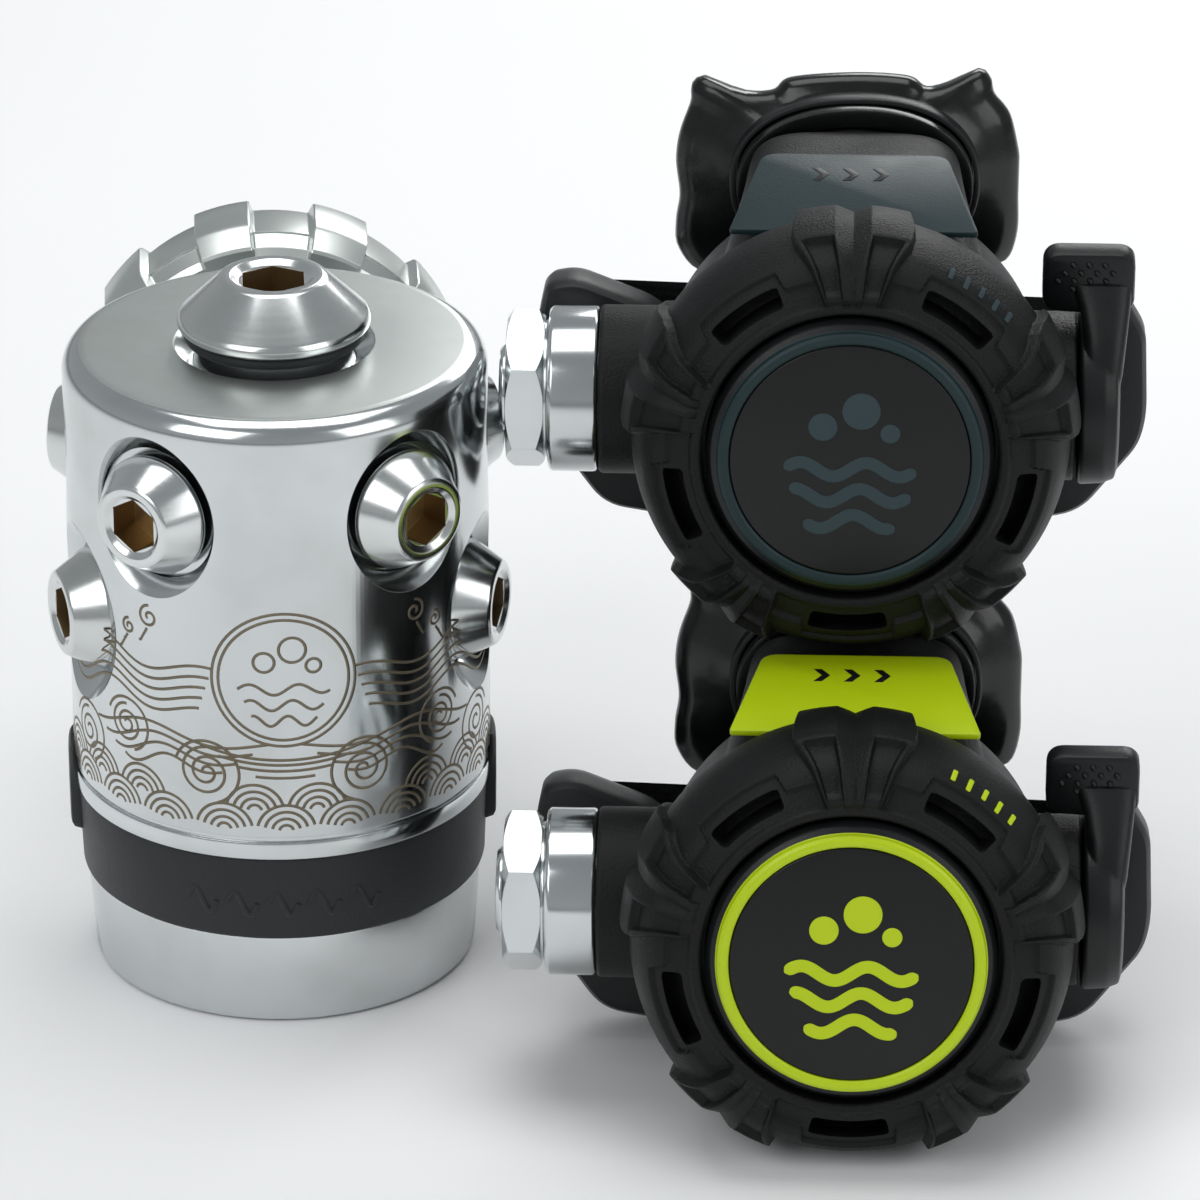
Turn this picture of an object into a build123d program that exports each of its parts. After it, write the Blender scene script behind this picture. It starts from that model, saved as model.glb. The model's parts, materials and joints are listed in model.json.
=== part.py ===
"""Scuba regulator set: one first stage and two second stages, all sizes in millimetres.

Row frame: the first stage stands on its diaphragm cap. The origin is the middle of the
cap's standing face, +Z runs up the barrel and +Y runs along the cylinder connection.
Each second stage is drawn in its own frame and then placed:
x to the wearer's left, y back towards the mouthpiece, z up, origin on the purge button face.
"""

import os
from build123d import *

# ---------------------------------------------------------------- first stage sizes
BARREL_R = 28.5
BODY_TOP = 89.3
BODY_BOTTOM = 25.8
SHOULDER_R = 3.3
CAP_TOP = 13.5
CAP_R = 27.0
BAND_R = 28.1
DIN_Z = 61.2
WHEEL_R = 27.3
WHEEL_FRONT = 40.5
WHEEL_BACK = 54.0
WHEEL_LOBES = 10
DIN_THREAD_R = 11.455
LOW_THREAD_R = 4.76
HIGH_THREAD_R = 5.55
LOW_ANGLES = (-105.0, -37.5, 37.5, 105.0)
HIGH_ANGLES = (-72.0, 72.0)
LOW_LEVEL = 74.0
HIGH_LEVEL = 54.4
LOW_SEATS = (24.0, 25.6, 25.6, 24.0)
HIGH_SEAT = 24.6
PASSAGE_ANGLES = (0.0, 120.0, 240.0)

# ---------------------------------------------------------------- second stage sizes
RING_R = 29.0
BORE_R = 19.5
DISC_R = 15.8
LUG_ANGLES = (18.0, 90.0, 162.0, 234.0, 306.0)
SLOT_ANGLES = (54.0, 126.0, 198.0, 270.0, 342.0)
CASE_R = 27.3
BARREL_Y = 27.0
BARREL_Z = 0.5
TUBE_R = 9.0
TEE_FRONT = 40.2
TEE_BACK = 51.0
EXHAUST_Z = -13.0
MOUTH_Z = 21.0
MOUTH_ROLL = -1.6
TOP_SLOPE = 13.4

# where each second stage sits: button face centre, heading, and how far its face looks up
PRIMARY_AT = (74.3, -33.4, 84.65)
PRIMARY_TURN = -5.5
PRIMARY_TILT = -5.2
OCTOPUS_AT = (71.8, -72.2, 31.0)
OCTOPUS_TURN = -5.5
OCTOPUS_TILT = -9.2


ABOVE = (Align.CENTER, Align.CENTER, Align.MIN)


# ---------------------------------------------------------------- small helpers
def bar(r, z0, z1, r2=None):
    """Round bar, or cone when r2 is given, standing on the Z axis."""
    if r2 is None:
        solid = Cylinder(r, z1 - z0, align=(Align.CENTER, Align.CENTER, Align.MIN))
    else:
        solid = Cone(r, r2, z1 - z0, align=(Align.CENTER, Align.CENTER, Align.MIN))
    return Pos(0, 0, z0) * solid


def tube(r, bore, z0, z1):
    """Round tube standing on the Z axis."""
    return bar(r, z0, z1) - bar(bore, z0 - 1, z1 + 1)


def turned(points):
    """Turned part from (radius, height) points, spun round the Z axis."""
    outline = Polyline(*[(r, 0, z) for r, z in points], close=True)
    return revolve(make_face(outline), Axis.Z)


def hexagon(flats, z0, z1):
    """Hexagonal bar across its flats."""
    profile = RegularPolygon(flats / 2, 6, major_radius=False)
    return Pos(0, 0, z0) * extrude(profile, z1 - z0)


def coil(r, wire, z0, z1, turns):
    """Helical spring with its wire ends inside z0..z1."""
    height = z1 - z0 - 2 * wire
    path = Helix(height / turns, height, r)
    start = path @ 0
    section = Plane(origin=start, z_dir=path % 0) * Circle(wire)
    return Pos(0, 0, z0 + wire) * sweep(section, path)


def out_y(shape, y=0.0, z=0.0):
    """Lay a Z-axis part along +Y through (0, y, z)."""
    return Pos(0, y, z) * Rot(-90, 0, 0) * shape


def out_x(shape, y=0.0, z=0.0):
    """Lay a Z-axis part along +X through (0, y, z)."""
    return Pos(0, y, z) * Rot(0, 90, 0) * shape


def port_at(shape, angle, level):
    """Lay a Z-axis part radially outward, angle measured from the front (-Y)."""
    return Pos(0, 0, level) * Rot(0, 0, angle) * Rot(90, 0, 0) * shape


# ---------------------------------------------------------------- first stage
def barrel_outside():
    """Turned barrel with a rounded shoulder, a foot lip and a threaded skirt."""
    outside = bar(BARREL_R, BODY_BOTTOM + 3.4, BODY_TOP)
    outside = fillet(outside.edges().sort_by(Axis.Z)[-1], SHOULDER_R)
    lip = bar(BARREL_R, BODY_BOTTOM, BODY_BOTTOM + 2.6)
    groove = bar(BARREL_R - 0.5, BODY_BOTTOM + 2.6, BODY_BOTTOM + 3.4)
    skirt = bar(24.6, 16.0, BODY_BOTTOM)
    boss = out_y(bar(13.4, 24.0, 32.0), 0, DIN_Z)
    return outside + lip + groove + skirt + boss


def port_recess(seat, hole_r, inner):
    """Spotface with a wide chamfer, and the threaded hole behind it."""
    spot = bar(9.0, seat, seat + 12)
    bevel = bar(9.0, seat + 0.6, seat + 5.6, r2=14.6)
    hole = bar(hole_r + 0.04, inner, seat + 1)
    return spot + bevel + hole


def first_stage_body():
    """Chromed brass body with its chambers, seat crown, gallery and ports."""
    body = barrel_outside()
    body -= bar(22.0, 15.0, 33.0)
    body -= bar(17.0, 32.0, 38.0)
    body -= bar(1.9, 37.0, 45.0)
    body -= bar(8.0, 44.0, 71.0)
    body += tube(4.0, 2.4, 43.5, 44.8)
    body -= bar(14.0, 70.0, 78.0)
    body -= bar(10.95, 77.0, BODY_TOP + 1)
    body -= bar(10.9, BODY_TOP - 2.4, BODY_TOP + 0.01, r2=13.3)
    for angle, seat in zip(LOW_ANGLES, LOW_SEATS):
        body -= port_at(port_recess(seat, LOW_THREAD_R, 12.0), angle, LOW_LEVEL)
    for angle in HIGH_ANGLES:
        body -= port_at(port_recess(HIGH_SEAT, HIGH_THREAD_R, 14.0), angle, HIGH_LEVEL)
        body -= port_at(bar(2.4, 6.0, 15.0), angle, HIGH_LEVEL)
    for angle in PASSAGE_ANGLES:
        body -= Rot(0, 0, angle) * Pos(0, -12.0, 0) * bar(2.0, 36.0, 72.0)
    body -= out_y(bar(3.0, 6.0, 14.0), 0, DIN_Z)
    body -= out_y(bar(7.04, 12.0, 40.0), 0, DIN_Z)
    return body


def diaphragm_cap():
    """Screwed cap that the first stage stands on, with a pierced guard in the middle."""
    cap = turned([
        (0, 0), (25.4, 0), (26.1, 0.7), (CAP_R, CAP_TOP - 0.5), (CAP_R - 0.5, CAP_TOP),
        (20.5, CAP_TOP), (20.5, 3.0), (16.0, 3.0), (14.5, 1.5), (0, 1.5)])
    for count, radius in ((6, 5.2), (10, 10.8)):
        for i in range(count):
            cap -= Rot(0, 0, i * 360 / count) * Pos(radius, 0, 0) * bar(1.7, -1.0, 2.5)
    return cap


def diaphragm_clamp():
    """Threaded ring that holds the main diaphragm up against the body."""
    ring = turned([
        (13.2, 6.0), (20.45, 6.0), (20.45, 14.0), (21.95, 14.0), (21.95, 31.0),
        (12.0, 31.0), (12.0, 23.0), (13.2, 22.0)])
    for angle in (0, 90, 180, 270):
        ring -= Rot(0, 0, angle) * Pos(17.0, 0, 0) * bar(1.5, 5.0, 10.0)
    return ring


def grip_band():
    """Moulded rubber band over the joint, with two raised side tabs."""
    band = turned([
        (24.7, CAP_TOP + 0.05), (27.4, CAP_TOP + 0.05), (27.7, CAP_TOP + 0.5),
        (BAND_R, BODY_BOTTOM - 0.5), (BAND_R - 0.3, BODY_BOTTOM - 0.05), (24.7, BODY_BOTTOM - 0.05)])
    tab = tube(29.3, 28.55, 19.0, 31.5) + tube(29.3, 27.5, 19.0, BODY_BOTTOM - 0.4)
    wedge = Box(80, 9.0, 40, align=(Align.CENTER, Align.CENTER, Align.MIN))
    return band + (tab & wedge)


def end_plug():
    """Large hexagon-socket plug on top, reaching down to the balance chamber."""
    top = BODY_TOP
    plug = turned([
        (0, 60.0), (7.2, 60.0), (7.9, 60.7), (7.9, 70.0), (6.5, 70.0), (6.5, 78.5),
        (10.9, 78.5), (10.9, top - 2.5), (10.4, top - 2.5), (10.4, top + 1.4), (10.0, top + 2.4),
        (12.5, top + 2.4), (12.9, top + 2.9), (12.9, top + 3.7), (12.6, top + 4.3),
        (7.1, top + 9.6), (5.7, top + 9.6), (4.6, top + 8.9), (0, top + 8.9)])
    plug -= hexagon(8.2, top + 1.5, top + 12)
    plug -= bar(2.85, 59.0, 72.0)
    return plug


def port_plug(seat, thread_r, depth):
    """Conical hexagon-socket port plug with its threaded shank."""
    plug = turned([
        (0, seat - depth), (thread_r - 0.5, seat - depth), (thread_r, seat - depth + 0.6),
        (thread_r, seat), (5.2, seat), (5.2, seat + 0.9), (7.9, seat + 0.9), (8.2, seat + 1.2),
        (8.2, seat + 2.0), (7.9, seat + 2.5), (5.5, seat + 6.6), (4.6, seat + 6.6),
        (3.9, seat + 6.1), (0, seat + 6.1)])
    return plug - hexagon(6.6, seat + 1.2, seat + 8)


def low_pressure_plugs():
    """Plugs of the four low-pressure ports."""
    return [port_at(port_plug(seat, LOW_THREAD_R, 9.0), angle, LOW_LEVEL)
            for angle, seat in zip(LOW_ANGLES, LOW_SEATS)]


def high_pressure_plugs():
    """Plugs of the two high-pressure ports."""
    return [port_at(port_plug(HIGH_SEAT, HIGH_THREAD_R, 9.5), angle, HIGH_LEVEL) for angle in HIGH_ANGLES]


def o_ring(r, section, z):
    """Rubber O-ring lying flat at height z."""
    return Pos(0, 0, z) * Torus(r, section)


def plug_orings():
    """O-rings squeezed under the port plugs and the end plug."""
    rings = [port_at(o_ring(5.65, 0.4, s + 0.45), a, LOW_LEVEL) for a, s in zip(LOW_ANGLES, LOW_SEATS)]
    rings += [port_at(o_ring(5.98, 0.35, HIGH_SEAT + 0.45), a, HIGH_LEVEL) for a in HIGH_ANGLES]
    rings.append(o_ring(11.35, 0.85, BODY_TOP + 1.5))
    return rings


def din_nozzle():
    """Fixed inlet tube: screwed into the body, its head keeps the hollow screw on."""
    return out_y(turned([
        (2.5, 12.5), (6.6, 12.5), (7.0, 13.0), (7.0, 32.05), (12.4, 32.05), (12.4, 35.0),
        (11.6, 35.8), (7.8, 35.8), (7.8, 63.0), (9.6, 63.0), (9.6, 67.6), (9.2, 68.0),
        (8.0, 68.0), (8.0, 66.6), (6.0, 66.6), (6.0, 68.0), (4.2, 68.0), (4.2, 58.0), (2.5, 56.0)]),
        0, DIN_Z)


def din_screw():
    """Hollow screw that the handwheel turns, free to spin on the inlet tube."""
    return out_y(turned([
        (7.9, 36.4), (12.9, 36.4), (12.9, 52.4), (10.6, 53.4), (10.6, 54.4), (DIN_THREAD_R, 55.2),
        (DIN_THREAD_R, 67.4), (10.8, 68.2), (9.7, 68.2), (9.7, 62.6), (7.9, 62.6)]), 0, DIN_Z)


def din_handwheel():
    """Lobed handwheel pressed on the hollow screw."""
    wheel = turned([
        (12.95, WHEEL_FRONT + 1.5), (21.0, WHEEL_FRONT + 1.5), (23.0, WHEEL_FRONT),
        (24.6, WHEEL_FRONT), (WHEEL_R, WHEEL_FRONT + 3.6), (WHEEL_R, WHEEL_BACK - 1.4),
        (WHEEL_R - 1.4, WHEEL_BACK), (23.0, WHEEL_BACK), (22.0, WHEEL_BACK - 3.0),
        (16.0, WHEEL_BACK - 3.0), (15.5, WHEEL_BACK - 1.6), (12.95, WHEEL_BACK - 1.6)])
    pitch = 360 / WHEEL_LOBES
    for i in range(WHEEL_LOBES):
        valley = Pos(0, 0, WHEEL_FRONT - 1) * Box(9.2, 8, 20, align=(Align.CENTER, Align.MIN, Align.MIN))
        valley = Pos(0, WHEEL_R - 1.6, 0) * valley
        wheel -= Rot(0, 0, 4.0 + i * pitch) * valley
    return out_y(wheel, 0, DIN_Z)


def din_oring():
    """Face seal of the cylinder connection."""
    return out_y(o_ring(7.0, 0.98, 67.6), 0, DIN_Z)


def inlet_filter():
    """Sintered filter disc inside the inlet tube."""
    return out_y(bar(4.15, 60.0, 62.5) + bar(3.2, 58.5, 60.0), 0, DIN_Z)


def main_valve():
    """High-pressure valve with its seat disc and balanced stem."""
    return turned([
        (0, 44.85), (4.6, 44.85), (4.9, 45.2), (4.9, 48.6), (2.75, 49.2), (2.75, 66.0), (0, 66.0)])


def main_valve_spring():
    """Light spring that closes the high-pressure valve."""
    return coil(3.9, 0.45, 48.9, 59.95, 6)


def valve_lifter():
    """Lifter plate and pin between the main diaphragm and the valve."""
    return turned([(0, 33.05), (7.0, 33.05), (7.0, 34.4), (1.5, 35.0), (1.5, 44.8), (0, 44.8)])


def main_diaphragm():
    """Fabric-backed rubber diaphragm clamped round its rim."""
    return turned([
        (0, 31.4), (11.0, 31.4), (12.5, 31.05), (21.9, 31.05), (21.9, 32.95), (14.0, 32.95),
        (12.0, 33.0), (0, 33.0)])


def spring_pad():
    """Round pad that spreads the spring load over the diaphragm."""
    return turned([(0, 27.6), (5.6, 27.6), (5.6, 28.6), (10.5, 28.6), (10.5, 30.6), (9.5, 31.35), (0, 31.35)])


def main_spring():
    """Stiff spring that sets the intermediate pressure."""
    return coil(8.0, 1.15, 13.3, 28.55, 4)


def spring_adjuster():
    """Threaded ring that preloads the main spring."""
    ring = turned([(5.0, 9.0), (13.15, 9.0), (13.15, 16.0), (10.4, 16.0), (10.4, 13.25), (5.0, 13.25)])
    for angle in (0, 120, 240):
        ring -= Rot(0, 0, angle) * Pos(9.0, 0, 0) * bar(1.3, 8.0, 11.5)
    return ring


def hydrostatic_transmitter():
    """Mushroom that carries water pressure from the outer to the main diaphragm."""
    return turned([(0, 5.1), (12.0, 5.1), (12.0, 6.3), (4.0, 7.8), (3.2, 8.8), (3.2, 27.55), (0, 27.55)])


def environmental_diaphragm():
    """Soft outer diaphragm that keeps water out of the spring chamber."""
    return turned([(0, 3.6), (12.6, 3.6), (14.4, 3.05), (20.4, 3.05), (20.4, 5.95), (18.4, 5.95), (17.6, 4.6), (14.6, 4.6), (12.9, 5.05), (0, 5.05)])


# ---------------------------------------------------------------- second stage
def ring_profile(grow=0.0):
    """Outside of the cover ring as a turned solid, optionally grown."""
    g = grow
    return turned([
        (0, 0.9 - g), (20.2, 0.9 - g), (21.6, 1.1 - g), (25.6, 3.0 - g), (28.0 + g * 0.7, 7.0 - g),
        (RING_R + g, 12.0), (RING_R - 0.5 + g, 16.6), (0, 16.6)])


def ring_lug(angle):
    """Raised claw-shaped lug, split by a V groove."""
    claw = extrude(make_face(Polyline(
        (-4.0, 21.0), (4.0, 21.0), (5.6, 25.0), (8.2, 29.2), (7.6, 33.0), (-7.6, 33.0),
        (-8.2, 29.2), (-5.6, 25.0), close=True)), 18)
    skin = ring_profile(1.5)
    groove = Pos(0, 31.5, -3) * Rot(10, 0, 0) * Rot(0, 0, 45) * Box(3.4, 3.4, 40)
    lug = (Rot(0, 0, angle - 90) * (Pos(0, 0, -1.5) * claw - groove)) & skin
    return lug - bar(25.9, 4.0, 20.0)


def arc_slot(angle, r0, r1, half, z0, z1):
    """Slot bent round the axis, cut straight through."""
    ring = tube(r1, r0, z0, z1)
    wide = 2 * r1
    edge = Pos(0, 0, z0) * Box(wide, wide, z1 - z0, align=(Align.MIN, Align.MIN, Align.MIN))
    low = Rot(0, 0, angle - half) * edge
    high = Rot(0, 0, angle + half - 90) * edge
    return ring & low & high


def cover_ring():
    """Front ring of the cover with five lugs and five water slots."""
    ring = ring_profile()
    for angle in LUG_ANGLES:
        ring += ring_lug(angle)
    ring -= bar(BORE_R, -2.0, 6.0)
    ring -= bar(21.2, 4.4, 9.0)
    ring -= bar(25.6, 8.6, 20.0)
    for angle in SLOT_ANGLES:
        ring -= arc_slot(angle, 22.3, 24.9, 12.5, -2.0, 9.0)
    return out_y(Rot(0, 0, 180) * ring)


def purge_button():
    """Purge button with its skirt, retaining flange and centre pin."""
    return out_y(turned([
        (0, 0.7), (DISC_R + 0.05, 0.7), (DISC_R + 0.05, -0.1), (16.4, -0.3), (17.2, -0.1), (17.4, 0.5), (18.9, 1.9),
        (18.9, 5.0), (20.8, 5.0), (20.8, 6.2), (17.4, 6.2), (17.4, 2.9), (3.4, 2.9), (3.4, 10.55), (0, 10.55)]))


def button_disc():
    """Round badge disc set in the button face."""
    return out_y(turned([(0, 0.0), (DISC_R - 0.3, 0.0), (DISC_R, 0.25), (DISC_R, 0.65), (0, 0.65)]))


def purge_spring():
    """Spring that returns the purge button."""
    return out_y(coil(8.5, 0.4, 2.95, 9.4, 3))


def diaphragm_cover():
    """Perforated plate between the button and the diaphragm."""
    plate = bar(25.3, 9.45, 10.35) - bar(4.2, 9.0, 11.0)
    for i in range(8):
        plate -= Rot(0, 0, i * 45) * Pos(15.0, 0, 9.0) * Cylinder(3.0, 4.0)
    for i in range(16):
        plate -= Rot(0, 0, i * 22.5) * Pos(21.6, 0, 9.0) * Cylinder(1.6, 4.0)
    return out_y(plate)


def diaphragm():
    """Silicone demand diaphragm with a stiff centre plate."""
    return out_y(turned([
        (0, 10.75), (9.0, 10.75), (9.5, 11.6), (14.0, 11.6), (15.5, 13.2), (17.5, 13.2), (19.0, 10.6),
        (25.2, 10.4), (25.2, 12.4), (21.0, 12.4), (19.8, 11.5), (18.2, 14.0), (14.9, 14.0),
        (13.5, 12.4), (0, 12.4)]))


def neck_section(y, half, low, high, corner):
    """Rounded rectangular section of the case neck."""
    plane = Plane(origin=(0, y, (low + high) / 2), x_dir=(1, 0, 0), z_dir=(0, 1, 0))
    return plane * RectangleRounded(2 * half, high - low, corner)


def neck_solid(shrink=0.0, start=17.4, end=52.0):
    """Neck that runs from the round case up to the mouthpiece."""
    s = shrink
    sections = [
        neck_section(start, 18.2 - s, -2.0 + s, 24.9 - s, 6.0 - s),
        neck_section(38.0, 15.6 - s, 2.0 + s, 29.9 - s, 6.0 - s),
        neck_section(end, 14.6 - s, 9.5 + s, 29.6 - s, 6.0 - s)]
    return loft(Sketch() + sections, ruled=True)


def oval(y0, y1, half_w, half_h, z):
    """Oval bar along Y."""
    plane = Plane(origin=(0, y0, z), x_dir=(1, 0, 0), z_dir=(0, 1, 0))
    return extrude(plane * Ellipse(half_w, half_h), y1 - y0)


def case():
    """Moulded case: diaphragm cup, barrel sockets, neck and mouthpiece stub."""
    body = out_y(bar(25.35, 12.45, 17.4) + bar(CASE_R, 17.4, 37.6, r2=25.4))
    body = chamfer(body.edges().sort_by(Axis.Y)[-1], 1.5)
    body -= Pos(0, 17.4, 25.0) * Rot(TOP_SLOPE, 0, 0) * Box(60, 80, 20, align=ABOVE)
    body += neck_solid()
    body += oval(50.4, 60.0, 13.1, 8.2, MOUTH_Z)
    sockets = Pos(-33.6, 0, 0) * out_x(bar(11.3, 0, 63.4), BARREL_Y, BARREL_Z)
    body += sockets
    body -= out_y(bar(23.4, 12.0, 35.4))
    body -= neck_solid(1.9, start=20.0, end=53.9)
    body -= oval(49.0, 62.0, 11.5, 6.6, MOUTH_Z)
    body += Pos(-29.0, 0, 0) * out_x(bar(11.3, 0, 5.0), BARREL_Y, BARREL_Z)
    body += Pos(23.4, 0, 0) * out_x(bar(11.3, 0, 5.0), BARREL_Y, BARREL_Z)
    body -= Pos(-40, 0, 0) * out_x(bar(TUBE_R + 0.05, 0, 80), BARREL_Y, BARREL_Z)
    body -= out_y(bar(7.8, 34.0, 39.0), 0, EXHAUST_Z)
    body += Pos(0, 36.9, EXHAUST_Z) * (Box(16.4, 1.4, 1.8) + Box(1.8, 1.4, 16.4) + out_y(bar(2.6, -0.7, 0.7)))
    body -= out_y(bar(1.55, 30.0, 39.0), 0, EXHAUST_Z)
    body -= out_y(bar(11.4, 37.62, 40.0), 0, EXHAUST_Z)
    body -= out_y(tube(38.0, 25.45, 8.0, 17.1))
    return body


def air_barrel():
    """Metal valve tube across the case."""
    pipe = bar(TUBE_R, -33.4, 29.8) - bar(7.04, -34.0, -24.0) - bar(6.2, -25.0, 24.0)
    pipe += tube(6.5, 2.3, 3.0, 4.6)
    pipe = out_x(pipe, BARREL_Y, BARREL_Z)
    pipe -= Pos(10.6, BARREL_Y - 8.0, BARREL_Z) * Box(9.0, 14.0, 9.0)
    pipe -= Pos(-7.0, BARREL_Y + 6.0, BARREL_Z + 5.0) * Box(7.0, 10.0, 9.0)
    return pipe


def orifice():
    """Valve orifice with a knife edge for the poppet seat."""
    return out_x(turned([
        (2.2, -23.8), (6.1, -23.8), (6.1, -12.0), (4.0, -11.2), (3.0, -9.9), (2.4, -9.9), (2.2, -11.0)]),
        BARREL_Y, BARREL_Z)


def poppet():
    """Poppet with its seat disc, shaft and lock nut."""
    return out_x(turned([
        (0, -9.85), (4.0, -9.85), (4.6, -9.2), (4.6, -6.0), (2.0, -6.0), (2.0, 12.2), (3.4, 12.2),
        (3.4, 14.6), (0, 14.6)]), BARREL_Y, BARREL_Z)


def poppet_spring():
    """Spring that holds the poppet on its orifice."""
    return out_x(coil(3.6, 0.35, -5.95, 2.95, 5), BARREL_Y, BARREL_Z)


def demand_lever():
    """Bent lever on a round pivot: its fork pulls the poppet, its tip rests under the diaphragm."""
    fork = Pos(11.6, BARREL_Y - 3.6, BARREL_Z) * Box(0.9, 8.4, 6.0)
    gap = Pos(11.6, BARREL_Y + 0.6, BARREL_Z) * Box(3.0, 7.0, 4.3)
    arm = extrude(Plane.XY * make_face(Polyline(
        (12.05, 19.2), (9.0, 17.4), (-3.0, 14.1), (-5.2, 14.1), (-5.2, 12.95), (-2.7, 12.75), (9.6, 16.4),
        (12.9, 18.6), (12.05, 20.4), close=True)), 2.0, both=True)
    pivot = Pos(11.6, BARREL_Y - 8.4, BARREL_Z) * Cylinder(0.9, 7.4)
    return fork - gap + Pos(0, 0, BARREL_Z) * arm + pivot


def inlet_fitting():
    """Chromed inlet: collar, hexagon and hose neck."""
    part = bar(7.0, -33.8, -24.2) + bar(11.1, -40.4, -33.65) + bar(9.2, -41.2, -40.3)
    nut = hexagon(19.2, -46.0, -40.9) & turned([
        (0, -46.0), (9.6, -46.0), (11.2, -45.0), (11.2, -41.9), (9.8, -40.9), (0, -40.9)])
    part += nut + bar(5.75, -47.0, -45.9)
    part -= bar(3.0, -50.0, -20.0)
    return out_x(part, BARREL_Y, BARREL_Z)


def venturi_lever():
    """Venturi lever: hub on the barrel end, curved stem and dotted thumb pad."""
    hub = bar(11.8, 30.2, 35.6, r2=11.2) - bar(7.0, 29.0, 31.4)
    part = out_x(hub, BARREL_Y, BARREL_Z)
    stem = extrude(Plane.YZ * make_face(Polyline(
        (17.6, -3.0), (17.4, 8.0), (21.0, 14.4), (28.0, 14.4), (31.0, 8.0), (31.0, -3.0), close=True)), 5.2)
    part += Pos(31.0, 0, 0) * stem
    pad = Box(12.2, 3.6, 9.4)
    pad = fillet(pad.edges().filter_by(Axis.Y), 1.8)
    part += Pos(31.2, 24.2, 17.8) * Rot(14, 0, 0) * pad
    return part - Pos(40.0, BARREL_Y - 16.0, BARREL_Z) * Box(5.0, 12.0, 10.0)


def mouthpiece():
    """Soft mouthpiece: sleeve, bite shield with raised horns, and two bite tabs."""
    z = MOUTH_Z
    plane = Plane(origin=(0, 61.0, z - 1.0), x_dir=(1, 0, 0), z_dir=(0, 1, 0))
    part = oval(53.4, 62.5, 16.2, 11.2, z)
    part += extrude(plane * RectangleRounded(47.2, 27.6, 11.5), 3.4)
    for side in (-1, 1):
        part += Pos(side * 18.6, 62.2, z + 10.0) * Rot(0, side * 14, 0) * Box(6.0, 4.6, 8.4)
        part += Pos(side * 15.5, 70.0, z) * Box(4.2, 12.0, 8.6)
        part += Pos(side * 15.5, 74.8, z) * Box(4.2, 2.6, 13.0)
    part += Pos(0, 62.6, z + 11.8) * Box(19.6, 3.2, 4.4)
    part -= oval(50.0, 60.3, 13.4, 8.55, z)
    part -= oval(50.0, 70.0, 11.2, 6.4, z)
    return Pos(0, 0, z) * Rot(0, MOUTH_ROLL, 0) * Pos(0, 0, -z) * part


def mouthpiece_clamp():
    """Reusable clamp strap round the mouthpiece sleeve."""
    strap = oval(55.6, 58.6, 17.1, 12.1, MOUTH_Z) - oval(54.0, 60.0, 16.25, 11.25, MOUTH_Z)
    strap += Pos(0, 57.1, MOUTH_Z - 12.4) * Box(5.0, 3.0, 1.8)
    return Pos(0, 0, MOUTH_Z) * Rot(0, MOUTH_ROLL, 0) * Pos(0, 0, -MOUTH_Z) * strap


def exhaust_tee():
    """Hollow exhaust tee that leads bubbles away to both sides."""
    outline = make_face(Polyline(
        (-43.0, 7.6), (-41.6, 10.6), (-37.4, 11.4), (-26.0, 7.0), (-18.0, -2.2), (18.0, -2.2),
        (26.0, 5.5), (36.8, 9.6), (39.8, 4.6), (40.2, -6.6), (39.4, -11.0), (31.4, -21.0),
        (21.0, -23.0), (-21.0, -23.0), (-33.6, -21.0), (-41.0, -11.0), close=True))
    plane = Plane(origin=(0, TEE_FRONT, 0), x_dir=(1, 0, 0), z_dir=(0, 1, 0))
    shell = extrude(plane * mirror(outline, Plane.XZ), TEE_BACK - TEE_FRONT)
    inside = Plane(origin=(0, TEE_FRONT + 1.6, 0), x_dir=(1, 0, 0), z_dir=(0, 1, 0))
    inner = extrude(inside * mirror(offset(outline, -1.6), Plane.XZ), TEE_BACK - TEE_FRONT - 3.2)
    collar = out_y(bar(11.2, 37.65, TEE_FRONT + 0.5), 0, EXHAUST_Z)
    shell += collar
    shell -= inner
    shell -= out_y(bar(10.0, 37.0, TEE_FRONT + 2.0), 0, EXHAUST_Z)
    for side in (-1, 1):
        shell -= Pos(side * 41.0, (TEE_FRONT + TEE_BACK) / 2, -2.0) * Box(6.0, 7.0, 13.0)
    return shell


def exhaust_valve():
    """Mushroom exhaust valve over the case outlet."""
    disc = turned([(0, 37.65), (9.2, 37.65), (9.5, 38.2), (3.0, 38.9), (0, 38.9)])
    stem = bar(1.5, 33.6, 38.0) + bar(2.1, 33.6, 35.6)
    return out_y(disc + stem, 0, EXHAUST_Z)


def trim_plate():
    """Coloured inlay plate on top of the neck, notched for the top lug."""
    face = make_face(Polyline(
        (-16.6, 0.3), (16.6, 0.3), (12.3, 20.6), (-12.3, 20.6), close=True))
    face = fillet(face.vertices().group_by(Axis.Y)[-1], 2.0)
    plate = extrude(face, 0.9)
    return Pos(0, 17.4, 25.05) * Rot(TOP_SLOPE, 0, 0) * plate


SECOND_STAGE = {
    "case": case,
    "cover_ring": cover_ring,
    "purge_button": purge_button,
    "button_disc": button_disc,
    "purge_spring": purge_spring,
    "diaphragm_cover": diaphragm_cover,
    "diaphragm": diaphragm,
    "demand_lever": demand_lever,
    "air_barrel": air_barrel,
    "poppet": poppet,
    "poppet_spring": poppet_spring,
    "orifice": orifice,
    "inlet_fitting": inlet_fitting,
    "venturi_lever": venturi_lever,
    "mouthpiece": mouthpiece,
    "mouthpiece_clamp": mouthpiece_clamp,
    "exhaust_tee": exhaust_tee,
    "exhaust_valve": exhaust_valve,
    "trim_plate": trim_plate,
}

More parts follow.
